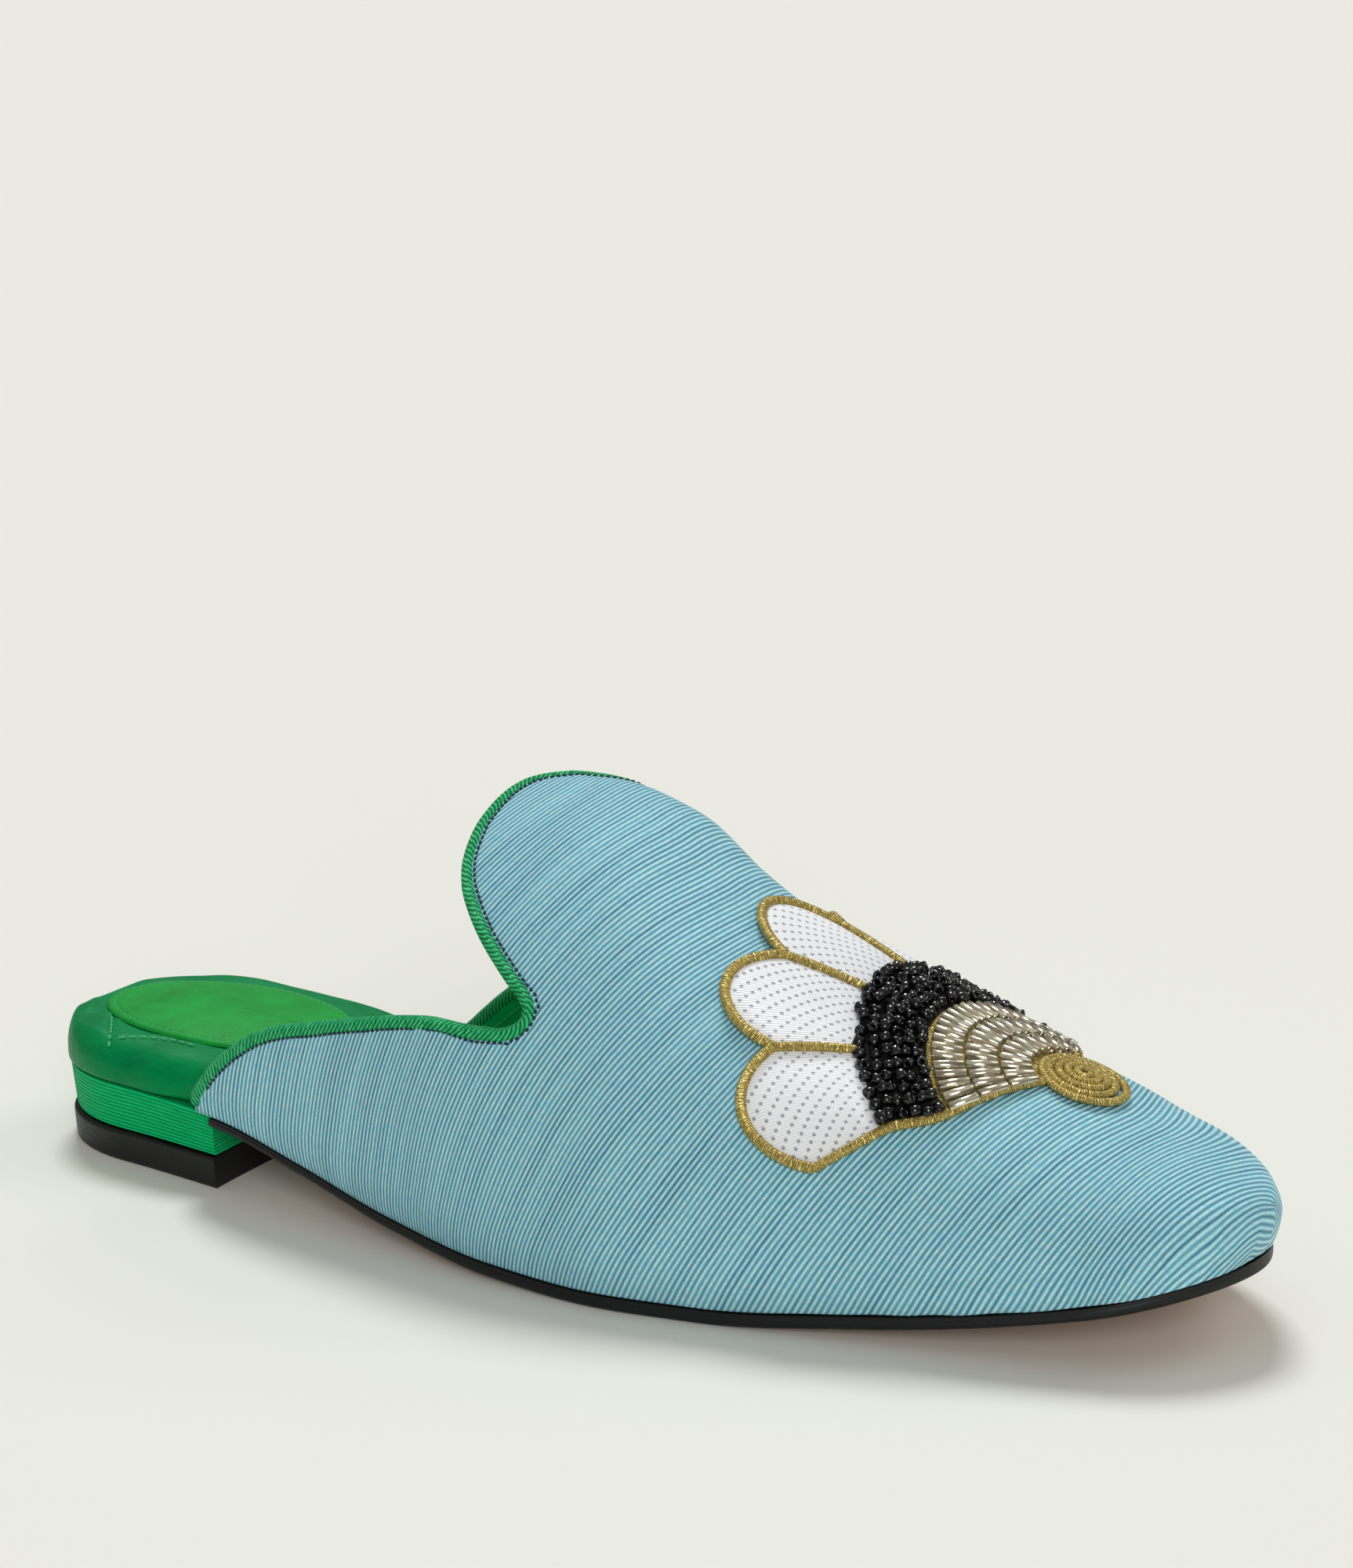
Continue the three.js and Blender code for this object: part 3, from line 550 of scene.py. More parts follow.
def satin_finish(name, colour):
    """Smooth lustrous weave with long streaks and cloudy creases."""
    base = tuple(colour)
    f = Finish(name, Roughness=0.4, Specular_IOR_Level=0.13, Specular_Tint=(0.15, 1.0, 0.5, 1.0))
    long_streak = f.noise(f.place((260.0, 1400.0, 900.0)), 1.0, 4.0, 0.6)
    broad = f.noise(f.place(), 0.055, 3.0, 0.55, 0.6)
    thread = f.noise(f.place((700.0, 6000.0, 6000.0)), 1.0, 2.0)
    # Broad lighter and darker patches over the creases: painted sheen and painted shade.
    tone = f.mix(f.span(broad, 0.3, 0.7), shade(base, 0.78), shade(base, 1.15))
    # Long lighter streaks: painted sheen.
    f.colour(f.mix(f.span(long_streak, 0.35, 0.7, 0.0, 0.4), tone, shade(base, 1.35)))
    f.roughness(f.span(broad, 0.3, 0.7, 0.34, 0.48))
    first = f.bump(broad, 1.2, 0.4)
    second = f.bump(long_streak, 0.1, 0.7, first)
    f.bump(thread, 0.03, 0.6, second)
    return f.material


def corded_finish(name, colour, pitch, slant, crest, groove):
    """Ribs that cross a strip at a slant, for the binding and the heel cover."""
    base = tuple(colour)
    f = Finish(name, Roughness=0.45, Specular_IOR_Level=0.15, Specular_Tint=(0.2, 1.0, 0.5, 1.0))
    along, around = f.cut()
    rib = f.wave(f.math("ADD", along, f.math("MULTIPLY", around, slant)), pitch)
    patch = f.streaks(along, around, 0.9, 0.2, 3.0)
    # Patches of painted highlight on the crests.
    top = f.mix(f.span(patch, 0.35, 0.68), base, crest)
    # Painted shade in the grooves, painted highlight on the crests.
    f.colour(f.mix(f.math("POWER", rib, 0.65), groove, top))
    first = f.bump(rib, pitch / 3, 1.0)
    f.bump(patch, 0.12, 0.6, first)
    return f.material


def smooth_leather_finish(name, colour, roughness, grain, tint=(1.0, 1.0, 1.0, 1.0), gloss=0.3):
    """Leather with fine pores and a cloudy tone."""
    f = Finish(name, Roughness=roughness, Specular_IOR_Level=gloss, Specular_Tint=tint)
    base = tuple(colour)
    where = f.place()
    pores = f.node("TexVoronoi", {"Vector": where, "Scale": grain}, feature="DISTANCE_TO_EDGE").outputs[0]
    cloudy = f.noise(where, 0.12, 4.0, 0.6)
    f.colour(f.mix(f.span(cloudy, 0.3, 0.7), shade(base, 0.86), shade(base, 1.14)))
    f.roughness(f.span(cloudy, 0.3, 0.7, roughness * 0.85, roughness * 1.15))
    first = f.bump(f.span(pores, 0.0, 0.3), 0.05, 0.7)
    f.bump(cloudy, 0.3, 0.3, first)
    return f.material


def edge_rubber_finish(colours):
    """Black rubber with faint upright scuffs."""
    f = Finish("black_rubber", Roughness=0.42, Specular_IOR_Level=0.3)
    base = tuple(colours.rubber)
    scuff = f.noise(f.place((500.0, 500.0, 2600.0)), 1.0, 5.0, 0.65)
    specks = f.noise(f.place(), 1.4, 3.0, 0.7)
    f.colour(f.mix(f.span(scuff, 0.45, 0.8), base, shade(base, 1.8)))
    f.roughness(f.span(scuff, 0.3, 0.7, 0.36, 0.55))
    first = f.bump(scuff, 0.08, 0.6)
    f.bump(specks, 0.05, 0.5, first)
    return f.material


def gold_thread_finish(colours, name="gold_thread", pitch=0.34):
    """Metal thread wound across a cord, each turn with its own glint."""
    f = Finish(name, Metallic=0.55, Roughness=0.3)
    base = tuple(colours.gold)
    along, around = f.cut()
    jitter = f.streaks(along, around, 1.1, 0.4, 2.0, 0.5)
    turned = f.math("ADD", along, f.math("MULTIPLY", jitter, 1.1))
    strand = f.ribs(turned, pitch)
    glint = f.streaks(turned, around, 3.4, 0.9, 3.0, 0.7)
    # Colour of the painted glints.
    painted_glint = blend(base, (1.0, 0.88, 0.34, 1.0), 0.7)
    bright = f.mix(f.span(glint, 0.4, 0.6), shade(base, 0.5), painted_glint)
    # Painted shade between the turns, painted highlight and glints on them.
    f.colour(f.mix(f.math("POWER", strand, 0.7), shade(base, 0.2), bright))
    f.roughness(f.span(glint, 0.35, 0.65, 0.42, 0.2))
    first = f.bump(strand, 0.26, 1.0)
    f.bump(glint, 0.34, 0.9, first)
    return f.material


def bugle_finish(colours):
    """Silver-lined glass; each bugle takes its own tone."""
    f = Finish("clear_bugles", Metallic=0.8, Roughness=0.14, Coat_Weight=0.6, Coat_Roughness=0.04)
    base = tuple(colours.bugle)
    own, along = f.cut()
    tone = f.streaks(own, along, 0.31, 0.0, 1.0, 0.5)
    # Lengthwise streaks that carry the painted reflection.
    lining = f.streaks(own, along, 1.25, 0.1, 3.0, 0.5)
    silver = f.mix(f.span(tone, 0.35, 0.65), shade(base, 0.8), shade(base, 1.3))
    # Dark streaks along each bugle: painted reflection.
    f.colour(f.mix(f.span(lining, 0.36, 0.62), shade(base, 0.3), silver))
    f.roughness(f.span(lining, 0.3, 0.7, 0.26, 0.1))
    f.bump(lining, 0.16, 0.6)
    return f.material


def bead_finish(colours):
    """Glossy black glass."""
    f = Finish("black_beads", Roughness=0.07, Specular_IOR_Level=0.55)
    base = tuple(colours.bead)
    haze = f.noise(f.place(), 0.9, 2.0)
    f.colour(f.mix(f.span(haze, 0.45, 0.7), base, shade(base, 1.6)))
    f.roughness(f.span(haze, 0.3, 0.7, 0.04, 0.14))
    f.bump(haze, 0.1, 0.3)
    return f.material


def white_thread_finish(colours):
    """Lengthwise threads with slanting rows of needle marks."""
    f = Finish("white_thread", Roughness=0.4, Specular_IOR_Level=0.45, Sheen_Weight=0.3, Sheen_Roughness=0.3)
    base = tuple(colours.thread)
    across, along = f.cut()
    strand = f.ribs(across, 0.4)
    row = f.math("FLOOR", f.math("DIVIDE", across, 0.8))
    shifted = f.math("ADD", along, f.math("MULTIPLY", row, 1.15))
    repeat = f.math("FRACT", f.math("DIVIDE", shifted, 3.4))
    mark = f.math("MULTIPLY", f.math("LESS_THAN", repeat, 0.2), f.span(f.ribs(across, 0.8), 0.55, 0.75))
    # Painted shade between the threads.
    plain = f.mix(strand, shade(base, 0.88), base)
    f.colour(f.mix(f.math("MULTIPLY", mark, 0.75), plain, (0.22, 0.23, 0.3, 1.0)))
    first = f.bump(strand, 0.12, 0.8)
    f.bump(f.math("SUBTRACT", 1.0, mark), 0.3, 0.8, first)
    return f.material


def plain_thread_finish(name, colour):
    """Twisted sewing thread in one colour."""
    f = Finish(name, Roughness=0.5, Specular_IOR_Level=0.4)
    twist = f.ribs(f.noise(f.place(), 3.0, 2.0), 0.08)
    # Darker in the grooves of the twist: painted shade.
    f.colour(f.mix(twist, shade(tuple(colour), 0.6), shade(tuple(colour), 1.1)))
    f.bump(twist, 0.05, 0.6)
    return f.material


# Settings


def length_setting(name, description, millimetres):
    return bpy.props.FloatProperty(
        name=name, description=description, default=millimetres / 1000, min=0.0, precision=5, unit="LENGTH"
    )


def colour_setting(name, description, value):
    return bpy.props.FloatVectorProperty(
        name=name, description=description, default=value, size=4, min=0.0, max=1.0, subtype="COLOR"
    )


class SlipperSizes(bpy.types.PropertyGroup):
    """Sizes that a maker would change, in scene lengths."""

    rib_pitch: length_setting("Rib pitch", "Distance between two ribs of the upper cloth", 1.02)
    cloth_thick: length_setting("Cloth thickness", "Outer cloth with its stiffener", 0.9)
    binding_radius: length_setting("Binding radius", "Half the width of the rolled binding", 1.5)
    binding_rib: length_setting("Binding rib pitch", "Distance between two ribs of the binding", 1.08)
    stitch_pitch: length_setting("Stitch pitch", "Distance between two stitches beside the binding", 1.25)
    stitch_length: length_setting("Stitch length", "Length of a stitch beside the binding", 0.85)
    crease_depth: length_setting("Crease depth", "Depth of the tuck above the feather edge", 0.6)
    wrinkle_height: length_setting("Wrinkle height", "Height of the wrinkles in the footbed satin", 0.7)
    pad_dome: length_setting("Pad dome", "Rise of the heel pad at its middle", 1.3)
    cord_width: length_setting("Gold cord width", "Half the width of the gold outline", 1.0)
    bugle_length: length_setting("Bugle length", "Length of a bugle bead", 5.6)
    bugle_radius: length_setting("Bugle radius", "Half the width of a bugle bead", 0.93)
    bead_size: length_setting("Bead size", "Width of a black bead", 2.25)


class SlipperColours(bpy.types.PropertyGroup):
    """Base colours of the finishes."""

    cloth: colour_setting("Cloth", "Ribbed cloth of the upper, flank of a rib", (0.27, 0.82, 1.0, 1.0))
    # Painted shade between the ribs of the cloth.
    cloth_groove_shade: colour_setting("Cloth groove", "Ribbed cloth between two ribs", (0.008, 0.12, 0.25, 1.0))
    # Painted highlight on the crests of the cloth's ribs.
    cloth_crest_highlight: colour_setting("Cloth crest", "Ribbed cloth on the crest of a rib", (0.68, 1.0, 1.0, 1.0))
    binding: colour_setting("Binding", "Rolled binding of the topline", (0.015, 0.46, 0.15, 1.0))
    # Painted shade between the ribs of the binding.
    binding_groove_shade: colour_setting("Binding groove", "Binding between two ribs", (0.001, 0.12, 0.032, 1.0))
    # Painted highlight on the crests of the binding's ribs.
    binding_crest_highlight: colour_setting("Binding crest", "Binding on the crest of a rib", (0.12, 0.92, 0.38, 1.0))
    satin: colour_setting("Satin", "Satin of the footbed", (0.0005, 0.21, 0.06, 1.0))
    lining: colour_setting("Lining", "Satin inside the upper", (0.0005, 0.38, 0.115, 1.0))
    pad: colour_setting("Pad", "Soft leather of the heel pad", (0.012, 0.31, 0.045, 1.0))
    heel: colour_setting("Heel cover", "Ribbed cover of the heel block", (0.002, 0.6, 0.18, 1.0))
    # Painted shade between the ribs of the heel cover.
    heel_groove_shade: colour_setting("Heel cover groove", "Heel cover between two ribs", (0.001, 0.3, 0.09, 1.0))
    # Painted highlight on the crests of the heel cover's ribs.
    heel_crest_highlight: colour_setting("Heel cover crest", "Heel cover on a rib's crest", (0.008, 0.76, 0.26, 1.0))
    rubber: colour_setting("Rubber", "Sole edge and top piece", (0.005, 0.0055, 0.006, 1.0))
    sole: colour_setting("Sole", "Leather under the sole", (0.42, 0.2, 0.09, 1.0))
    gold: colour_setting("Gold thread", "Metal thread of the outlines", (1.0, 0.66, 0.12, 1.0))
    bugle: colour_setting("Bugles", "Silver-lined glass of the bugles", (0.92, 0.8, 0.58, 1.0))
    bead: colour_setting("Beads", "Black glass beads", (0.0025, 0.0025, 0.003, 1.0))
    thread: colour_setting("White thread", "Satin stitch of the petals", (0.97, 0.98, 1.0, 1.0))
    seam_dark: colour_setting("Topline thread", "Stitches beside the binding", (0.006, 0.035, 0.05, 1.0))
    seam_green: colour_setting("Lining thread", "Stitches of the footbed and lining", (0.06, 0.55, 0.2, 1.0))
    floor: colour_setting("Floor", "Floor under the slipper", (0.8, 0.8, 0.738, 1.0))


def settings():
    return bpy.context.scene.slipper_sizes, bpy.context.scene.slipper_colours


def mm(length):
    return length * 1000


# Upper


def line_heights(count):
    """Shares up the wall of lines that meet the topline at even distances."""
    up = np.linspace(0, 1, 401)
    edges = [vamp(topline(up, side), up, side) for side in (-1.0, 1.0)]
    step = sum(np.linalg.norm(np.diff(edge, axis=0), axis=1) for edge in edges) / 2
    run = np.concatenate([[0], step.cumsum()])
    return np.interp(np.linspace(0, run[-1], count + 1), run, up)


def upper_layout(lines, body_steps, toe_steps, setback=0.0):
    """Stations and heights of a grid over the upper, from one feather edge over the ridge to the other."""
    heights = line_heights(lines)
    up = np.concatenate([heights, heights[:-1][::-1]])
    side = np.concatenate([-np.ones(len(heights)), np.ones(len(heights) - 1)])
    start = topline(up, side) + setback
    return up, side, start, body_steps, toe_steps


def upper_skin(layout, inset):
    up, side, start, body_steps, toe_steps = layout
    end = LENGTH + TOE_OVERHANG - inset
    bend = end - TOE_ROUND
    share = np.linspace(0, 1, body_steps, endpoint=False)
    body = start[:, None] + (bend - start[:, None]) * share
    turn = np.sin(np.linspace(0, math.pi / 2, toe_steps)) ** (1 / 1.15)
    toe = np.broadcast_to(bend + TOE_ROUND * turn, (len(up), toe_steps))
    u = np.concatenate([body, toe], axis=1)
    return u, vamp(u, up[:, None], side[:, None], inset)


RIB_LEAN = 0.5  # drop of a rib for each length along it away from the ridge
TOE_LEAN = 0.6  # most that the slope of the toe adds to it
LEAN_ONSET = 5.0  # length over which a rib turns from straight to its lean, and more in the body
BODY_ONSET = 6.0
TOE_SHIFT = 8.0  # over the toe the ribs turn this far past the ridge, on the medial side


def summed_back(step):
    """Sums of the steps from the last column to each column."""
    return np.concatenate([step[:, ::-1].cumsum(axis=1)[:, ::-1], np.zeros((len(step), 1))], axis=1)


def cloth_lengths(layout, u):
    """Across-rib length and along-rib length of each point of the cloth, in millimetres."""
    up, side = layout[0], layout[1]
    stations = np.linspace(50, LENGTH + TOE_OVERHANG, 330)
    ridge = vamp(stations, 1.0, 1.0)
    ridge_run = np.concatenate([[0], np.linalg.norm(np.diff(ridge, axis=0), axis=1).cumsum()])
    slope = np.gradient(-ridge[:, 2]) / np.linalg.norm(np.gradient(ridge, axis=0), axis=1)
    at = stations[:, None]
    most_lean = RIB_LEAN + np.clip(slope[:, None] - RIB_LEAN, 0, TOE_LEAN) * ease(at, 236, 255)
    uv = np.zeros(u.shape + (2,))
    for sign in (-1.0, 1.0):
        rows = np.where(side == sign)[0]
        if sign > 0:
            rows = rows[::-1]
        heights = np.append(up[rows], 1.0) if up[rows][-1] < 1 else up[rows]
        line = vamp(stations[:, None], heights[None, :], sign)
        step = np.linalg.norm(np.diff(line, axis=1), axis=2)
        run = summed_back(step)
        beyond = TOE_SHIFT * ease(at, 238, 258)
        away = run - beyond if sign > 0 else np.maximum(run - ridge_y(at) + FAN_AXIS_Y, 0) + beyond
        onset = LEAN_ONSET + BODY_ONSET * toe_closing(at, LENGTH + TOE_OVERHANG)
        lean = most_lean * np.sign(away) * (1 - np.exp(-np.abs(away) / onset))
        lean = lean * (1 - 0.85 * ease(run, 35, 95) * (1 - ease(at, 75, 160)))
        drop = summed_back((lean[:, 1:] + lean[:, :-1]) / 2 * step)
        for k, row in enumerate(rows):
            distance = np.interp(u[row], stations, run[:, k])
            uv[row, :, 0] = np.interp(u[row], stations, ridge_run + drop[:, k])
            uv[row, :, 1] = distance * sign
    return uv


def grid_normals(points):
    along = np.gradient(points, axis=1)
    across = np.gradient(points, axis=0)
    return unit(np.cross(along, across))


def cloth_relief(points, u, uv):
    """How far the cloth stands out from the last: tuck over the feather edge, puckers and soft dents."""
    depth = mm(settings()[0].crease_depth)
    height = points[..., 2] - deck(points[..., 0])
    s, y = points[..., 0], points[..., 1]
    round_toe = ease(u, 190, 225) * (1 - 0.8 * ease(u, 244, 257))
    crease_at = 6.4 + 1.6 * np.sin(s / 13.0) + 1.2 * ease(s, 238, 262)
    crease = -depth * np.exp(-(((height - crease_at) / 1.7) ** 2)) * round_toe
    roll = 0.5 * depth * np.exp(-(((height - crease_at + 3.4) / 2.0) ** 2)) * round_toe
    run = s * 0.9 + np.abs(y) * 0.8
    near_edge = np.exp(-np.maximum(height, 0) / 4.5) * ease(u, 175, 225)
    pucker = 0.16 * np.sin(run * 0.74 + 0.8 * np.sin(run * 0.23)) * near_edge
    soft = 0.22 * np.sin(s / 11.0 + uv[..., 1] / 15.0) * np.sin(uv[..., 1] / 9.0 + 1.3)
    soft = soft * ease(height, 6, 22) * (1 - ease(u, 215, 250))
    dent = -0.7 * np.exp(-(((s - 163) / 8.0) ** 2) - ((uv[..., 1] + 14) / 26.0) ** 2)
    line, _ = topline_path(0.0, step=2.5)
    away = np.min([np.linalg.norm(points - point, axis=-1) for point in line], axis=0)
    return (crease + roll + pucker + soft + dent) * ease(away, 2, 10)


def build_upper():
    sizes, colours = settings()
    layout = upper_layout(112, 130, 44)
    u, outer = upper_skin(layout, 0.0)
    uv = cloth_lengths(layout, u)
    normals = grid_normals(outer)
    normals = normals * np.sign(np.sum(normals * (outer - outer.mean(axis=(0, 1))), axis=-1, keepdims=True))
    relief = cloth_relief(outer, u, uv)
    relief[:, -3:] *= np.array([0.6, 0.3, 0.0])
    _, inner = upper_skin(layout, mm(sizes.cloth_thick))
    points, quads = slab(outer + normals * relief[..., None], inner, folded=True)
    both = np.concatenate([uv.reshape(-1, 2)] * 2)
    finish = ribbed_cloth_finish(colours, sizes)
    make_piece("upper_cloth", points, quads, [finish], ["upper"], both)

    layout = upper_layout(56, 70, 26)
    _, outer = upper_skin(layout, mm(sizes.cloth_thick) + 0.05)
    _, inner = upper_skin(layout, WALL)
    points, quads = slab(outer, inner, folded=True)
    finish = satin_finish("green_satin_lining", colours.lining)
    make_piece("upper_lining", points, quads, [finish], ["upper"])


# Binding and the stitches beside it


def topline_path(inset, ahead=0.0, tails=(0.02, 0.015), step=0.3):
    """Line along the topline with the wall's outward direction at each point."""
    parts = []
    for side, tail in ((-1.0, tails[0]), (1.0, tails[1])):
        up = np.linspace(tail, 1, 900)
        at = topline(up, side)
        if ahead:
            edge = vamp(at, up, side, inset)
            forward = unit(np.gradient(edge, axis=0))
            du = unit(vamp(at + 0.5, up, side, inset) - edge)
            square = du - forward * np.sum(du * forward, axis=1, keepdims=True)
            inward = unit(square)
            shifts = np.linspace(0, 4 * ahead, 60)
            near = np.stack([vamp(at + shift, up, side, inset) for shift in shifts], axis=1)
            distance = np.sum((near - edge[:, None]) * inward[:, None], axis=2)
            found = np.argmax(distance >= ahead, axis=1)
            at = at + shifts[found]
        points = vamp(at, up, side, inset)
        outward = unit(points - vamp(at, up, side, inset + 1.0))
        parts.append(np.concatenate([points, outward], axis=1))
    whole = np.concatenate([parts[0], parts[1][::-1][1:]])
    run = np.concatenate([[0], np.linalg.norm(np.diff(whole[:, :3], axis=0), axis=1).cumsum()])
    goal = np.linspace(0, run[-1], int(run[-1] / step) + 1)
    even = np.stack([np.interp(goal, run, whole[:, k]) for k in range(6)], axis=1)
    return even[:, :3], unit(even[:, 3:])


def build_binding():
    sizes, colours = settings()
    path, outward = topline_path(WALL / 2)
    points, quads, uv = tube(path, outward, mm(sizes.binding_radius), around=18)
    uv[:, 1] *= mm(sizes.binding_radius)
    # The crest colour is painted highlight, the groove colour painted shade.
    crest, groove = tuple(colours.binding_crest_highlight), tuple(colours.binding_groove_shade)
    finish = corded_finish("green_cord", colours.binding, mm(sizes.binding_rib), 0.95, crest, groove)
    make_piece("binding", points, quads, [finish], ["topline_binding"], uv)


def build_topline_stitches():
    sizes, colours = settings()
    for name, inset, ahead, colour, slot, lift in (
        ("topline_stitches", 0.0, 1.5, colours.seam_dark, "green_cord", 0.1),
        ("lining_stitches", WALL, 3.2, colours.seam_green, "green_satin", -0.1),
    ):
        path, outward = topline_path(inset, ahead, (0.05, 0.04))
        side = np.cross(unit(np.gradient(path, axis=0)), outward)
        facing = outward if lift > 0 else -outward
        made = stitches(path, side, facing, mm(sizes.stitch_pitch), mm(sizes.stitch_length), 0.58, abs(lift))
        finish = plain_thread_finish(name + "_thread", colour)
        make_piece(name, made[0], made[1], [finish], [])


# Footbed and heel pad


SEAMS = [
    # points (s, y) of each stitched seam in the footbed satin
    [(14.5, -12.0), (18.0, -16.1), (21.5, -20.3), (23.9, -23.5), (25.4, -25.4)],
    [(23.9, -23.5), (27.0, -21.3), (31.0, -19.4), (36.0, -18.2), (42.0, -18.4)],
]
SEAT_ROUND = 3.2  # added to the edge's radius round the seat
MOST_ROUND = 0.78  # largest radius as a share of the thickness
SEAM_STITCH = (2.2, 1.6, 0.6)  # pitch, length and thickness of a stitch
PAD_STITCH = (2.1, 1.4, 0.3)
FLANK = [
    # inset, height as a share of the flank's height
    (0.8, 0.0),
    (0.15, 0.2),
    (0.0, 0.5),
    (0.0, 0.9),
]
FOLDS = [
    # s, y of both ends, width, height as a share
    (5.0, 4.0, 12.0, 16.0, 1.6, 0.8),
    (3.0, -3.0, 9.0, -14.0, 1.3, 0.9),
    (8.0, -18.0, 22.0, -22.0, 1.5, 0.9),
    (12.0, 20.0, 34.0, 23.0, 1.8, 0.7),
    (50.0, -20.0, 78.0, -16.0, 2.2, 0.7),
    (54.0, -10.0, 92.0, -4.0, 2.6, 0.5),
    (60.0, 18.0, 88.0, 12.0, 2.4, 0.6),
]


def segment_distance(s, y, a, b):
    a, b = np.array(a), np.array(b)
    d = b - a
    t = np.clip(((s - a[0]) * d[0] + (y - a[1]) * d[1]) / (d @ d), 0, 1)
    return np.hypot(s - a[0] - t * d[0], y - a[1] - t * d[1]), t


def footbed_half(s, side):
    """Half width of the footbed before its ends close."""
    return half_width(s, side) - np.where(side < 0, footbed_l(s), footbed_m(s))


def footbed_turn(s):
    """Radius of the footbed's upper edge, larger round the seat."""
    return np.minimum(FOOTBED_EDGE_ROUND + SEAT_ROUND * (1 - ease(s, 42, 72)), MOST_ROUND * footbed_thick(s))


def footbed_top(s, y):
    """Points on the footbed with the upright direction of the satin, also over its rounded edge."""
    side = np.where(y < axis_y(s), -1.0, 1.0)
    half = footbed_half(s, side) * heel_closing(s, FOOTBED_BACK)
    radius = footbed_turn(s)
    lean = np.clip((np.abs(y - axis_y(s)) - half + radius) / radius, 0, 0.97)
    rise = np.sqrt(1 - lean**2)
    points = np.stack([s, y, seat(s) - radius * (1 - rise)], axis=-1)
    return points, np.stack([np.zeros_like(s), side * lean, rise], axis=-1)


def satin_relief(s, y):
    """Height of wrinkles and seam grooves over the footbed's plain face."""
    sizes, _ = settings()
    height = np.zeros_like(s)
    for s0, y0, s1, y1, width, share in FOLDS:
        distance, t = segment_distance(s, y, (s0, y0), (s1, y1))
        ends = np.sin(math.pi * np.clip(t, 0.02, 0.98))
        height += mm(sizes.wrinkle_height) * share * np.exp(-((distance / width) ** 2)) * ends
    for seam in SEAMS:
        nearest = np.full_like(s, 99.0)
        for a, b in zip(seam[:-1], seam[1:]):
            nearest = np.minimum(nearest, segment_distance(s, y, a, b)[0])
        height += 0.35 * np.exp(-((nearest / 2.4) ** 2)) - 0.6 * np.exp(-((nearest / 0.8) ** 2))
    return height


def build_footbed():
    _, colours = settings()
    share = (1 - np.cos(np.linspace(0, math.pi, 261))) / 2
    s = (FOOTBED_BACK + (FOOTBED_FRONT - FOOTBED_BACK) * share)[:, None]
    at_back = heel_closing(s, FOOTBED_BACK, FOOTBED_EDGE_ROUND + 1)
    thick = footbed_thick(s) * (0.5 + 0.5 * at_back)
    turn_radius = np.minimum(footbed_turn(s), MOST_ROUND * thick)
    close = heel_closing(s, FOOTBED_BACK) * toe_closing(s, FOOTBED_FRONT)
    turn = np.radians(np.linspace(0, 90, 8))
    rows = []
    for side in (-1.0, 1.0):
        half = footbed_half(s, side)
        inset = [np.full_like(s, a) for a, _ in FLANK] + [turn_radius * (1 - math.cos(a)) for a in turn]
        level = [(thick - turn_radius) * b for _, b in FLANK]
        level += [thick - turn_radius * (1 - math.sin(a)) for a in turn]
        edge = [
            np.concatenate([s, axis_y(s) + side * (half - i) * close, deck(s) + GAP + h], axis=1)
            for i, h in zip(inset, level)
        ]
        rows.append(np.stack(edge, axis=1))
    left, right = rows
    t = np.linspace(0, 1, 62)[None, 1:-1, None]
    middle = left[:, -1:] + (right[:, -1:] - left[:, -1:]) * t
    top = np.concatenate([left, middle, right[:, ::-1]], axis=1)
    weight = ease(top[..., 2] - deck(top[..., 0]) - GAP, 1.5, 6.0)
    top[..., 2] += satin_relief(top[..., 0], top[..., 1]) * weight
    base = top[:, :1] + (top[:, -1:] - top[:, :1]) * np.linspace(0, 1, top.shape[1])[None, :, None]
    points, quads = slab(top, base)
    finish = satin_finish("green_satin", colours.satin)
    make_piece("footbed_satin", points, quads, [finish], ["footbed"])

    parts = []
    for seam in SEAMS:
        corners = np.array([(s0, y0, 0.0) for s0, y0 in seam])
        dense = even_path(corners, 0.4)
        kernel = np.ones(7) / 7
        padded = np.pad(dense[:, :2], ((3, 3), (0, 0)), mode="edge")
        soft = np.stack([np.convolve(padded[:, k], kernel, "valid") for k in (0, 1)], axis=1)
        path, upright = footbed_top(soft[:, 0], soft[:, 1])
        side = np.cross(unit(np.gradient(path, axis=0)), upright)
        parts.append(stitches(path + upright * 0.1, side, upright, *SEAM_STITCH))
    points, quads, _ = join(parts)
    finish = plain_thread_finish("footbed_thread", colours.seam_green)
    make_piece("footbed_stitches", points, quads, [finish], [])


PAD_CENTRE = (36.0, 0.5)
PAD_HALF = (30.0, 17.6)
PAD_EDGE = 0.7
PAD_SEAM_AT = 0.93  # share of the way from the middle to the edge


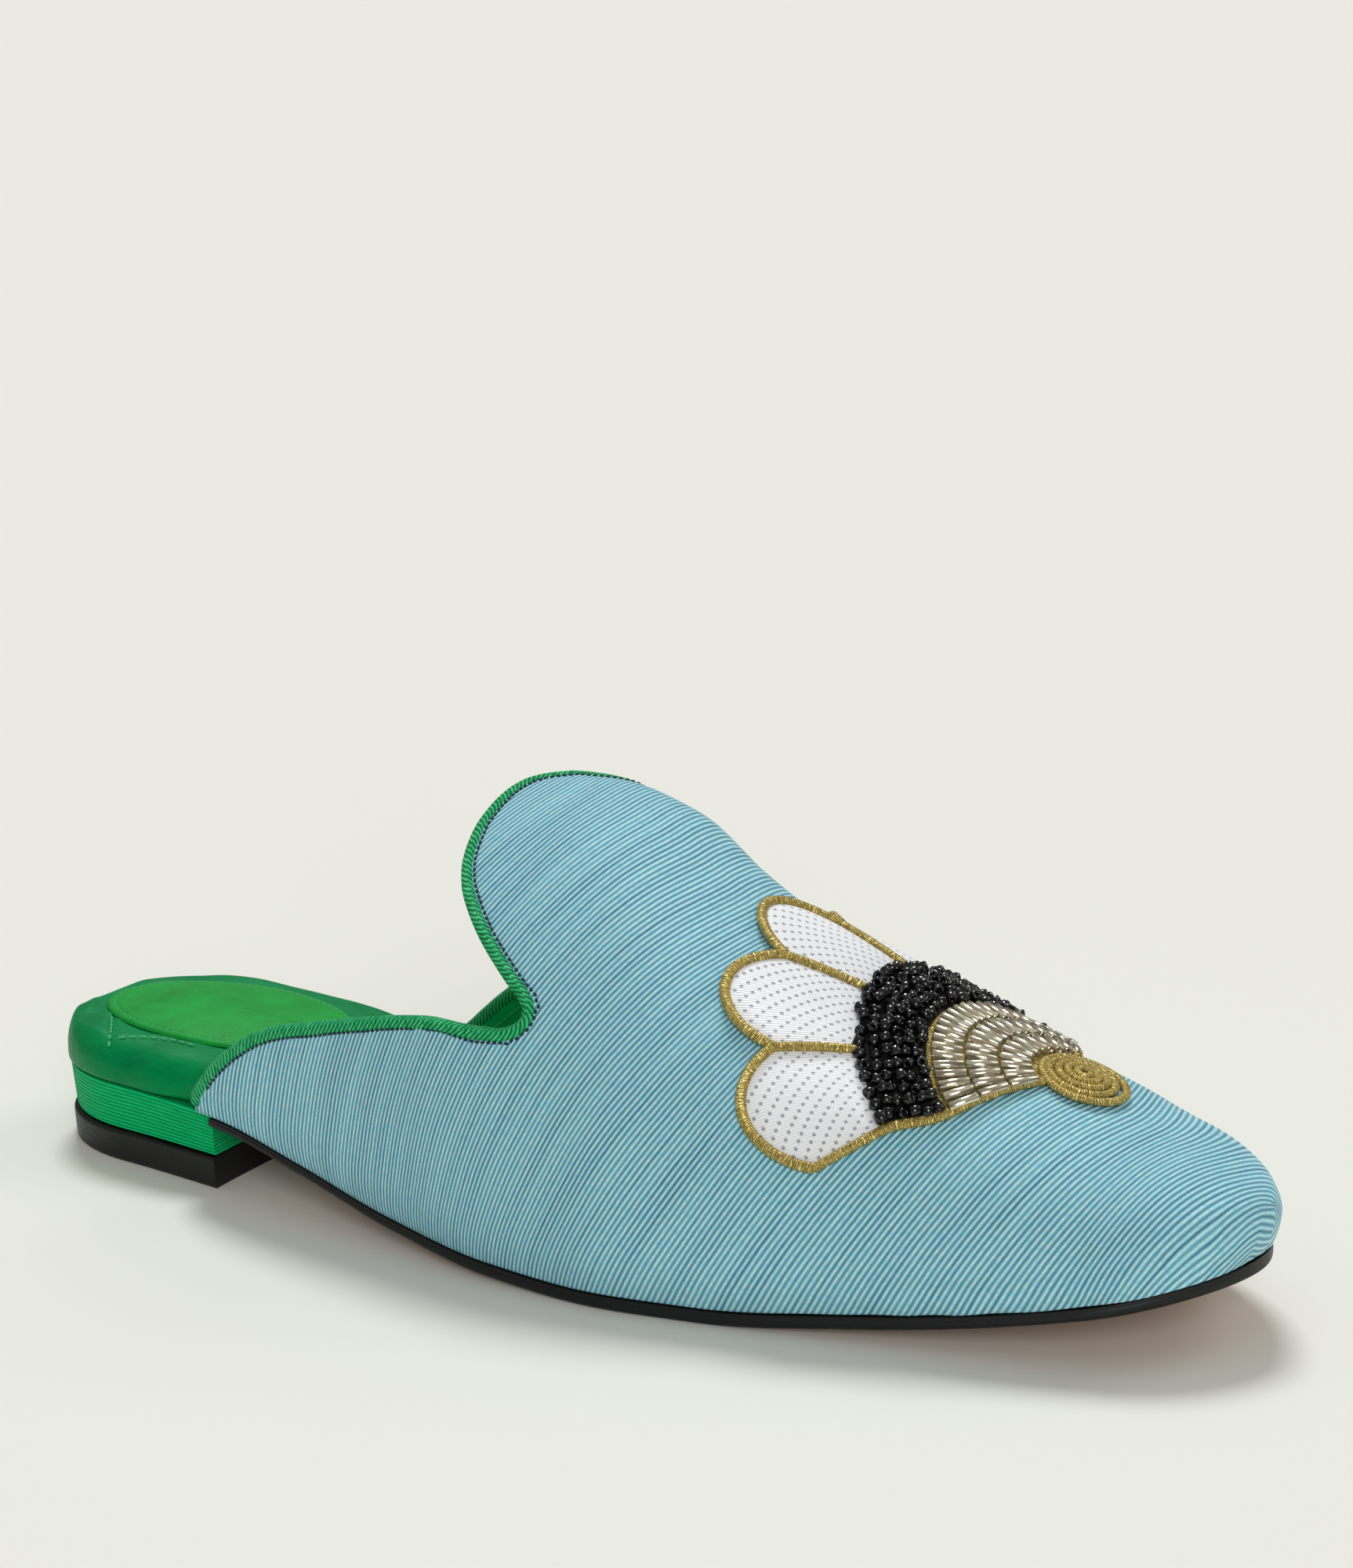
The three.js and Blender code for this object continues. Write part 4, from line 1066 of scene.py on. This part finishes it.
def build_heel_pad():
    sizes, colours = settings()
    share = np.linspace(0, 1, 46)[:, None]
    angle = np.linspace(0, 2 * math.pi, 121)[None, :]
    s = PAD_CENTRE[0] + PAD_HALF[0] * share * np.cos(angle)
    y = PAD_CENTRE[1] + PAD_HALF[1] * share * np.sin(angle)
    rise = PAD_EDGE * np.sqrt(np.maximum(1 - share**24, 0)) + mm(sizes.pad_dome) * (1 - share**2.4)
    rise = rise - 0.22 * np.exp(-(((share - PAD_SEAM_AT) / 0.012) ** 2))
    rise = rise + 0.05 * np.sin(s / 3.1 + y / 4.7) * (1 - share**6)
    seated = seat(s) + GAP
    top = np.stack([s, y, seated + rise], axis=-1)
    bottom = np.stack([s, y, seated - 0.1], axis=-1)
    points, quads = slab(top, bottom)
    finish = smooth_leather_finish("pad_leather", colours.pad, 0.45, 1.3, (0.3, 1.0, 0.4, 1.0), 0.14)
    pad = make_piece("heel_pad_cover", points, quads, [finish], ["heel_pad"])

    row = int(np.argmin(np.abs(share[:, 0] - PAD_SEAM_AT)))
    path = even_path(top[row], 0.4)
    upright = np.broadcast_to([0.0, 0.0, 1.0], path.shape)
    side = np.cross(unit(np.gradient(path, axis=0)), upright)
    points, quads, _ = stitches(path, side, upright, *PAD_STITCH, 0.06)
    finish = plain_thread_finish("pad_thread", colours.seam_green)
    make_piece("heel_pad_stitches", points, quads, [finish], [])


# Heel and outsole


def heel_form(low, high, inset_at, levels, around=90):
    """Surfaces of a heel layer with the share of its height at each point."""
    front = HEEL_BREAST - GAP
    share = (np.linspace(0, 1, around) ** 2)[:, None]
    height = np.linspace(0, 1, levels)[None, :]
    inset = inset_at(height)
    s = inset + (front - inset) * share
    z = low(s) + (high(s) - low(s)) * height

    def hollow(s_now, y):
        half = np.where(y < 0, lateral(front), medial(front))
        return BREAST_HOLLOW * (1 - np.clip(y / half, -1, 1) ** 2) * ease(s_now, front - 20, front)

    walls = []
    for side in (-1.0, 1.0):
        y = edge_y(s, side, inset)
        walls.append(np.stack([s - hollow(s, y), y, z], axis=-1))
    left, right = walls
    across = np.linspace(0, 1, 17)[None, :, None]

    def face(a, b):
        grid = a[:, None] + (b - a)[:, None] * across
        grid[..., 0] = np.maximum(a[:, None, 0], b[:, None, 0])
        grid[..., 0] -= hollow(grid[..., 0], grid[..., 1])
        return grid

    levels_across = height[0][:, None]
    return [
        (left, height),
        (right, height),
        (face(left[:, 0], right[:, 0]), 0.0),
        (face(left[:, -1], right[:, -1]), 1.0),
        (face(left[-1], right[-1]), levels_across),
    ]


HEEL_RIBS = 12
HEEL_RIB_PITCH = 0.8
HEEL_RIB_RELIEF = 0.11


def block_inset(h):
    """Inset of the heel block at a share of its height: taper, ribs and softened edges."""
    ribs = HEEL_RIB_RELIEF * np.abs(np.sin(math.pi * HEEL_RIBS * h))
    return 2.2 - 0.7 * h - ribs + 0.5 * np.exp(-h * 40) + 0.35 * np.exp(-(1 - h) * 40)


def top_piece_inset(h):
    """Inset of the top piece at a share of its height: taper and softened edges."""
    return 1.7 - 0.3 * h + 0.5 * np.exp(-h * 22) + 0.35 * np.exp(-(1 - h) * 26)


def build_heel():
    _, colours = settings()
    block_low = TOP_PIECE_THICK + GAP
    # The crest colour is painted highlight, the groove colour painted shade.
    crest, groove = tuple(colours.heel_crest_highlight), tuple(colours.heel_groove_shade)
    cover = corded_finish("heel_cover", colours.heel, HEEL_RIB_PITCH, 0.0, crest, groove)
    rubber = edge_rubber_finish(colours)
    block = heel_form(lambda s: 0 * s + block_low, deck, block_inset, 105)
    top_piece = heel_form(lambda s: 0 * s, lambda s: 0 * s + TOP_PIECE_THICK, top_piece_inset, 25)
    for name, form, made, node, slot in (
        ("heel_block_cover", block, cover, "heel_block", "heel_cover"),
        ("heel_top_piece_rubber", top_piece, rubber, "heel_top_piece", "black_rubber"),
    ):
        parts = []
        for surface, share in form:
            flat = surface.reshape(-1, 3)
            risen = np.broadcast_to(share, surface.shape[:2]).ravel() * HEEL_RIBS * HEEL_RIB_PITCH
            uv = np.stack([risen, flat[:, 0] + flat[:, 1]], axis=1)
            parts.append((flat, grid_quads(*surface.shape[:2]), uv))
        points, quads, uv = join(parts)
        make_piece(name, points, quads, [made], [node], uv)


SOLE_EDGE = [
    # share of the thickness, inset
    (0.0, 1.3),
    (0.04, 0.6),
    (0.16, 0.18),
    (0.3, 0.02),
    (0.5, 0.0),
    (0.68, 0.06),
    (0.76, 0.22),
    (0.84, 0.1),
    (0.95, 0.2),
    (1.0, 0.6),
]


def build_outsole():
    _, colours = settings()
    s = np.concatenate([
        np.linspace(HEEL_BREAST, LENGTH - TOE_ROUND, 130, endpoint=False),
        LENGTH - TOE_ROUND + TOE_ROUND * np.sin(np.linspace(0, math.pi / 2, 44)) ** (1 / 1.15),
    ])[:, None]
    rows = []
    for side in (-1.0, 1.0):
        edge = []
        for part, inset in SOLE_EDGE:
            y = edge_y(s, side) - side * inset * toe_closing(s, LENGTH)
            edge.append(np.concatenate([s, y, under(s) + part * sole_thick(s)], axis=1))
        rows.append(np.stack(edge, axis=1))
    left, right = rows
    across = np.linspace(0, 1, 26)[None, 1:-1, None]
    below = right[:, :1] + (left[:, :1] - right[:, :1]) * across
    above = left[:, -1:] + (right[:, -1:] - left[:, -1:]) * across
    ring = np.concatenate([below, left, above, right[:, ::-1], below[:, :1]], axis=1)
    quads = grid_quads(*ring.shape[:2])
    column_of = np.tile(np.arange(ring.shape[1] - 1), ring.shape[0] - 1)
    leather = (column_of < below.shape[1]) | (column_of >= ring.shape[1] - 2)
    back = np.stack([ring[0], np.broadcast_to(ring[0].mean(axis=0), ring[0].shape)], axis=0)
    points, quads_all, _ = join([
        (ring.reshape(-1, 3), quads, np.zeros((ring.shape[0] * ring.shape[1], 2))),
        (back.reshape(-1, 3), grid_quads(2, ring.shape[1]), np.zeros((2 * ring.shape[1], 2))),
    ])
    finish_of = np.concatenate([leather, np.zeros(ring.shape[1] - 1, dtype=bool)]).astype(np.int32)
    finishes = [edge_rubber_finish(colours), smooth_leather_finish("sole_leather", colours.sole, 0.5, 0.8)]
    make_piece(
        "outsole_layers", points, quads_all, finishes, ["outsole"], finish_of=finish_of
    )


# Fan of beads and stitched petals


EYE_RADIUS = 7.3
EYE_CORD = 0.8
EYE_TURNS = 4.2
EYE_RISE = 0.9
BUGLE_RINGS = (9.3, 15.3, 21.3)
BUGLE_ANGLE = 56.0
BEAD_BAND = (27.9, 39.6)
PETALS = 5
PETAL_ANGLE = 52.0
PETAL_INNER = 40.0
PETAL_OUTER = 64.6
PETAL_NOTCH = 9.0


def fan_limit(radius):
    """Degrees from the middle of the fan to its gold edge."""
    return 57.0 - 5.0 * ease(radius, 26, 40)


def petal_reach(degrees):
    share = (degrees / PETAL_ANGLE + 1) / 2 * PETALS
    within = np.abs(2 * (share - np.floor(np.clip(share, 0, PETALS - 1e-6))) - 1)
    return PETAL_OUTER - PETAL_NOTCH * within**2


def gold_cord(radius, degrees, lift=0.95, width=1.0):
    """Tube of gold thread along a line given in fan radius and degrees."""
    path, _, _, upright = fan_frame(radius, degrees, lift)
    forward = unit(np.gradient(path, axis=0))
    side = np.cross(forward, upright)
    return tube(path, side, width, width * 0.8, around=12)


def build_fan_eye():
    _, colours = settings()
    turns = np.linspace(0.08, 1, 700)
    rise = 1.0 + EYE_RISE * (1 - turns**2)
    made = gold_cord(turns * (EYE_RADIUS - EYE_CORD), turns * 360 * EYE_TURNS, rise, EYE_CORD)
    rim_degrees = np.linspace(-180, 180, 300)
    rim = gold_cord(np.full(300, EYE_RADIUS), rim_degrees, 1.0, 0.85)
    points, quads, uv = join([made, rim])
    finish = gold_thread_finish(colours, "gold_coil", 0.42)
    make_piece("fan_eye_coil", points, quads, [finish], ["fan_eye"], uv)


BUGLE_HALF = [
    # x, radius of one half of a bugle's outline, from the hole outwards, as shares of its size
    (-0.2, 0.4),
    (-0.5, 0.42),
    (-0.5, 0.8),
    (-0.47, 1.0),
]
BEAD_HALF = [
    # the same for a bead
    (-0.2, 0.2),
    (-0.42, 0.24),
    (-0.42, 0.4),
    (-0.34, 0.5),
]


def turned_form(half, corners):
    """Bead along x with a hole through it, mirrored and turned from half of its outline."""
    rows = half + [(-x, r) for x, r in reversed(half)]
    angle = np.linspace(0, 2 * math.pi, corners + 1)
    cosine, sine = np.cos(angle), np.sin(angle)
    points = [np.stack([np.full(corners + 1, x), cosine * r, sine * r], axis=1) for x, r in rows]
    return np.concatenate(points), grid_quads(len(rows), corners + 1)


def build_bugles():
    sizes, colours = settings()
    rng = np.random.default_rng(7)
    length, radius = mm(sizes.bugle_length), mm(sizes.bugle_radius)
    radii, degrees = [], []
    for ring in BUGLE_RINGS:
        middle = ring + length / 2
        count = int(math.radians(2 * BUGLE_ANGLE) * middle / (2.08 * radius))
        degrees.append(np.linspace(-BUGLE_ANGLE, BUGLE_ANGLE, count))
        radii.append(np.full(count, middle))
    radii, degrees = np.concatenate(radii), np.concatenate(degrees)
    centres, outward, side, upright = fan_frame(radii, degrees, 0.35 + radius)
    yaw = rng.normal(0, 0.045, len(radii))[:, None]
    tilt = rng.normal(0, 0.02, len(radii))[:, None]
    x = unit(outward + side * yaw + upright * tilt)
    y = unit(np.cross(upright, x))
    form, quads = turned_form(BUGLE_HALF, 14)
    form = form * (length, radius, radius)
    axes = np.stack([x, y, np.cross(x, y)], axis=1)
    points, faces = lay_copies(form, quads, centres, axes)
    around = np.arctan2(form[:, 2], form[:, 1]) * radius
    own = (np.arange(len(radii)) * 9.7)[:, None] + around[None, :]
    uv = np.stack([own.ravel(), np.tile(form[:, 0], len(radii))], axis=1)
    make_piece("bugle_rows", points, faces, [bugle_finish(colours)], ["fan_bugle_band"], uv)

    r, d = np.meshgrid(np.linspace(7.6, 28.2, 40), np.linspace(-57.5, 57.5, 90), indexing="ij")
    top, _, _, upright = fan_frame(r, d, 0.4)
    points, quads = slab(top, top - upright * 0.35)
    uv = np.stack([np.radians(d) * r, r], axis=-1).reshape(-1, 2)
    uv = np.concatenate([uv, uv])
    finish = gold_thread_finish(colours, "gold_ground", 0.5)
    make_piece("gold_ground", points, quads, [finish], ["fan_bugle_band"], uv)


def build_beads():
    sizes, colours = settings()
    rng = np.random.default_rng(11)
    size = mm(sizes.bead_size)
    radii, degrees, lifts = [], [], []
    for ring in np.arange(BEAD_BAND[0] + size / 2, BEAD_BAND[1], size * 0.92):
        reach = float(fan_limit(ring)) - 2.6
        count = int(math.radians(2 * reach) * ring / (size * 0.98))
        radii.append(ring + rng.uniform(-0.5, 0.5, count))
        degrees.append(np.linspace(-reach, reach, count) + rng.uniform(-0.7, 0.7, count))
        lifts.append(rng.uniform(0.9, 2.0, count))
    radii, degrees, lifts = (np.concatenate(part) for part in (radii, degrees, lifts))
    centres, outward, side, upright = fan_frame(radii, degrees, lifts)
    heading = rng.uniform(0, 2 * math.pi, len(radii))[:, None]
    lean = rng.normal(0, 0.55, len(radii))[:, None]
    x = unit(outward * np.cos(heading) + side * np.sin(heading) + upright * lean)
    y = unit(np.cross(upright, x))
    axes = np.stack([x, y, np.cross(x, y)], axis=1)
    form, quads = turned_form(BEAD_HALF, 8)
    scale = size * rng.uniform(0.9, 1.08, (len(radii), 1)) * np.ones((1, 3))
    points, faces = lay_copies(form, quads, centres, axes, scale)
    make_piece("bead_band", points, faces, [bead_finish(colours)], ["fan_bead_band"])

    r, share = np.meshgrid(np.linspace(27.6, 40.2, 24), np.linspace(-1, 1, 90), indexing="ij")
    d = share * (fan_limit(r) - 1)
    top, _, _, upright = fan_frame(r, d, 0.45)
    points, quads = slab(top, top - upright * 0.4)
    finish = plain_thread_finish("black_ground_thread", colours.bead)
    make_piece("bead_ground", points, quads, [finish], ["fan_bead_band"])


def build_petals():
    _, colours = settings()
    parts = []
    step = 2 * PETAL_ANGLE / PETALS
    for k in range(PETALS):
        centre = -PETAL_ANGLE + step * (k + 0.5)
        a, b = np.meshgrid(np.linspace(-1, 1, 40), np.linspace(0, 1, 72), indexing="ij")
        d = centre + a * step / 2 * 0.97
        r = PETAL_INNER - 0.4 + (petal_reach(d) - PETAL_INNER) * b
        dome = (1 - np.abs(a) ** 2.6) * np.clip(b * 6, 0, 1) ** 0.5 * np.clip((1 - b) * 7, 0, 1) ** 0.5
        top, _, _, upright = fan_frame(r, d, 0.45 + 0.75 * dome)
        points, quads = slab(top, top - upright * (0.4 + 0.75 * dome)[..., None])
        uv = np.stack([np.radians(d - centre) * 52.0, r], axis=-1).reshape(-1, 2)
        parts.append((points, quads, np.concatenate([uv, uv])))
    points, quads, uv = join(parts)
    finish = white_thread_finish(colours)
    make_piece("petal_stitching", points, quads, [finish], ["fan_petals"], uv)


def build_gold_outlines():
    sizes, colours = settings()
    width = mm(sizes.cord_width)
    step = 2 * PETAL_ANGLE / PETALS
    parts = []
    for k in range(PETALS + 1):
        d = -PETAL_ANGLE + step * k
        r = np.linspace(PETAL_INNER - 0.5, float(petal_reach(np.array(d))), 90)
        parts.append(gold_cord(r, np.full(90, d), 0.85, width * 0.9))
    for k in range(PETALS):
        d = np.linspace(-PETAL_ANGLE + step * k, -PETAL_ANGLE + step * (k + 1), 110)
        inside = np.clip(d, d[0] + 1e-3, d[-1] - 1e-3)
        parts.append(gold_cord(petal_reach(inside), d, 0.9, width))
    for edge in (-1, 1):
        r = np.linspace(8.2, PETAL_INNER, 140)
        parts.append(gold_cord(r, edge * fan_limit(r), 0.9, width))
    points, quads, uv = join(parts)
    finish = gold_thread_finish(colours)
    make_piece("gold_outlines", points, quads, [finish], ["fan_petals"], uv)


# Floor, light and camera


SKY_LOW = 0.05  # strength of the sky at the horizon
SKY_HIGH = 0.46  # and overhead
SKY_COLOUR = (1.0, 0.94, 0.87, 1.0)
SUN_COLOUR = (0.97, 1.0, 1.03)
SUNS = [
    # name, direction that the light comes from, strength, angle in degrees
    ("key", (-0.4, 0.6, 1.2), 1.78, 18),
    ("crown_light", (0.5, 0.8, 0.8), 0.35, 30),
    ("front_light", (0.6, -0.78, 0.46), 1.25, 30),
]
FLOOR_HALF = 30.0
CAMERA_TURN = 122.6
CAMERA_DROP = 14.03
CAMERA_ROLL = -1.2
CAMERA_AIM = (130.0, 0.0, 20.0)
CAMERA_DISTANCE = 674.1
AIM_IN_VIEW = (-0.017311, -0.092867)
CAMERA_LENS = 81.0


def camera_matrix():
    turn, drop, roll = (math.radians(a) for a in (CAMERA_TURN, CAMERA_DROP, CAMERA_ROLL))
    ahead = np.array([math.cos(turn) * math.cos(drop), math.sin(turn) * math.cos(drop), -math.sin(drop)])
    right = np.array([math.sin(turn), -math.cos(turn), 0.0])
    up = np.cross(right, ahead)
    right, up = right * math.cos(roll) + up * math.sin(roll), up * math.cos(roll) - right * math.sin(roll)
    x, y = (a * CAMERA_DISTANCE for a in AIM_IN_VIEW)
    centre = np.array(CAMERA_AIM) - (right * x + up * y + ahead * CAMERA_DISTANCE)
    matrix = np.eye(4)
    matrix[:3, 0], matrix[:3, 1], matrix[:3, 2] = right, up, -ahead
    matrix[:3, 3] = (centre - ROW_ORIGIN) / 1000
    return Matrix(matrix.tolist())


def add_sun(name, direction, strength, spread):
    data = bpy.data.lights.new(name, "SUN")
    data.energy = strength
    data.angle = math.radians(spread)
    data.color = SUN_COLOUR
    light = bpy.data.objects.new(name, data)
    towards = np.array(direction, float) / np.linalg.norm(direction)
    side = unit(np.cross([0.0, 0.0, 1.0], towards))
    matrix = np.eye(4)
    matrix[:3, 0], matrix[:3, 1], matrix[:3, 2] = side, np.cross(towards, side), towards
    matrix[:3, 3] = towards * 1.6
    light.matrix_world = Matrix(matrix.tolist())
    bpy.context.scene.collection.objects.link(light)


def build_stage():
    _, colours = settings()
    scene = bpy.context.scene
    scene.view_settings.view_transform = "Standard"
    world = bpy.data.worlds.new("studio")
    world.use_nodes = True
    nodes, links = world.node_tree.nodes, world.node_tree.links
    background = nodes["Background"]
    background.inputs["Color"].default_value = SKY_COLOUR
    where = nodes.new("ShaderNodeTexCoord")
    height = nodes.new("ShaderNodeSeparateXYZ")
    links.new(where.outputs["Generated"], height.inputs[0])
    rise = nodes.new("ShaderNodeMapRange")
    for socket, value in (("From Min", 0.0), ("From Max", 1.0), ("To Min", SKY_LOW), ("To Max", SKY_HIGH)):
        rise.inputs[socket].default_value = value
    links.new(height.outputs["Z"], rise.inputs["Value"])
    links.new(rise.outputs["Result"], background.inputs["Strength"])
    scene.world = world

    corners = [(x * FLOOR_HALF, y * FLOOR_HALF, 0) for x, y in ((-1, -1), (1, -1), (1, 1), (-1, 1))]
    mesh = bpy.data.meshes.new("floor")
    mesh.from_pydata(corners, [], [(0, 1, 2, 3)])
    f = Finish("floor_paper", Roughness=1.0, Specular_IOR_Level=0.0)
    grain = f.noise(f.place(), 0.6, 2.0)
    f.colour(f.mix(f.span(grain, 0.2, 0.8), shade(colours.floor, 0.995), shade(colours.floor, 1.0)))
    mesh.materials.append(f.material)
    floor = bpy.data.objects.new("floor", mesh)
    scene.collection.objects.link(floor)

    for name, direction, strength, spread in SUNS:
        add_sun(name, direction, strength, spread)

    lens = bpy.data.cameras.new("camera")
    lens.lens = CAMERA_LENS
    lens.sensor_width = 36.0
    lens.sensor_fit = "AUTO"
    lens.clip_start = 0.01
    lens.clip_end = 200.0
    camera = bpy.data.objects.new("camera", lens)
    camera.matrix_world = camera_matrix()
    scene.collection.objects.link(camera)
    scene.camera = camera


# Operators


def operator(idname, label, about, work):
    """Operator class that runs one building function."""

    def execute(self, context):
        work()
        return {"FINISHED"}

    body = {"__doc__": about, "bl_idname": "slipper." + idname, "bl_label": label, "execute": execute}
    return type("SLIPPER_OT_" + idname, (bpy.types.Operator,), body)


OPERATORS = [
    operator("stage", "Stage", "Floor, light and camera", build_stage),
    operator("upper", "Upper", "Ribbed cloth and its satin lining", build_upper),
    operator("binding", "Binding", "Rolled green binding of the topline", build_binding),
    operator("topline_stitches", "Topline stitches", "Stitches beside the binding", build_topline_stitches),
    operator("footbed", "Footbed", "Satin footbed with its seams", build_footbed),
    operator("heel_pad", "Heel pad", "Domed leather pad", build_heel_pad),
    operator("heel", "Heel", "Covered block and rubber top piece", build_heel),
    operator("outsole", "Outsole", "Black edge and leather underside", build_outsole),
    operator("fan_eye", "Fan eye", "Coil of gold cord", build_fan_eye),
    operator("bugles", "Bugles", "Rows of bugle beads on a gold ground", build_bugles),
    operator("beads", "Beads", "Band of black beads", build_beads),
    operator("petals", "Petals", "White satin-stitched petals", build_petals),
    operator("gold_outlines", "Gold outlines", "Gold cord round petals and fan", build_gold_outlines),
]


class SLIPPER_PT_pieces(bpy.types.Panel):
    """Lists the slipper's pieces and settings."""

    bl_label = "Babouche slipper"
    bl_idname = "SLIPPER_PT_pieces"
    bl_space_type = "VIEW_3D"
    bl_region_type = "UI"
    bl_category = "Slipper"

    def draw(self, context):
        layout = self.layout
        for made in OPERATORS:
            layout.operator(made.bl_idname)
        for group in (context.scene.slipper_sizes, context.scene.slipper_colours):
            box = layout.box()
            for key in group.__annotations__:
                box.prop(group, key)


CLASSES = [SlipperSizes, SlipperColours, *OPERATORS, SLIPPER_PT_pieces]


def register():
    for made in CLASSES:
        bpy.utils.register_class(made)
    bpy.types.Scene.slipper_sizes = bpy.props.PointerProperty(type=SlipperSizes)
    bpy.types.Scene.slipper_colours = bpy.props.PointerProperty(type=SlipperColours)


def unregister():
    del bpy.types.Scene.slipper_colours
    del bpy.types.Scene.slipper_sizes
    for made in reversed(CLASSES):
        bpy.utils.unregister_class(made)


def main():
    register()
    for made in OPERATORS:
        group, name = made.bl_idname.split(".")
        getattr(getattr(bpy.ops, group), name)()


if __name__ == "__main__":
    main()
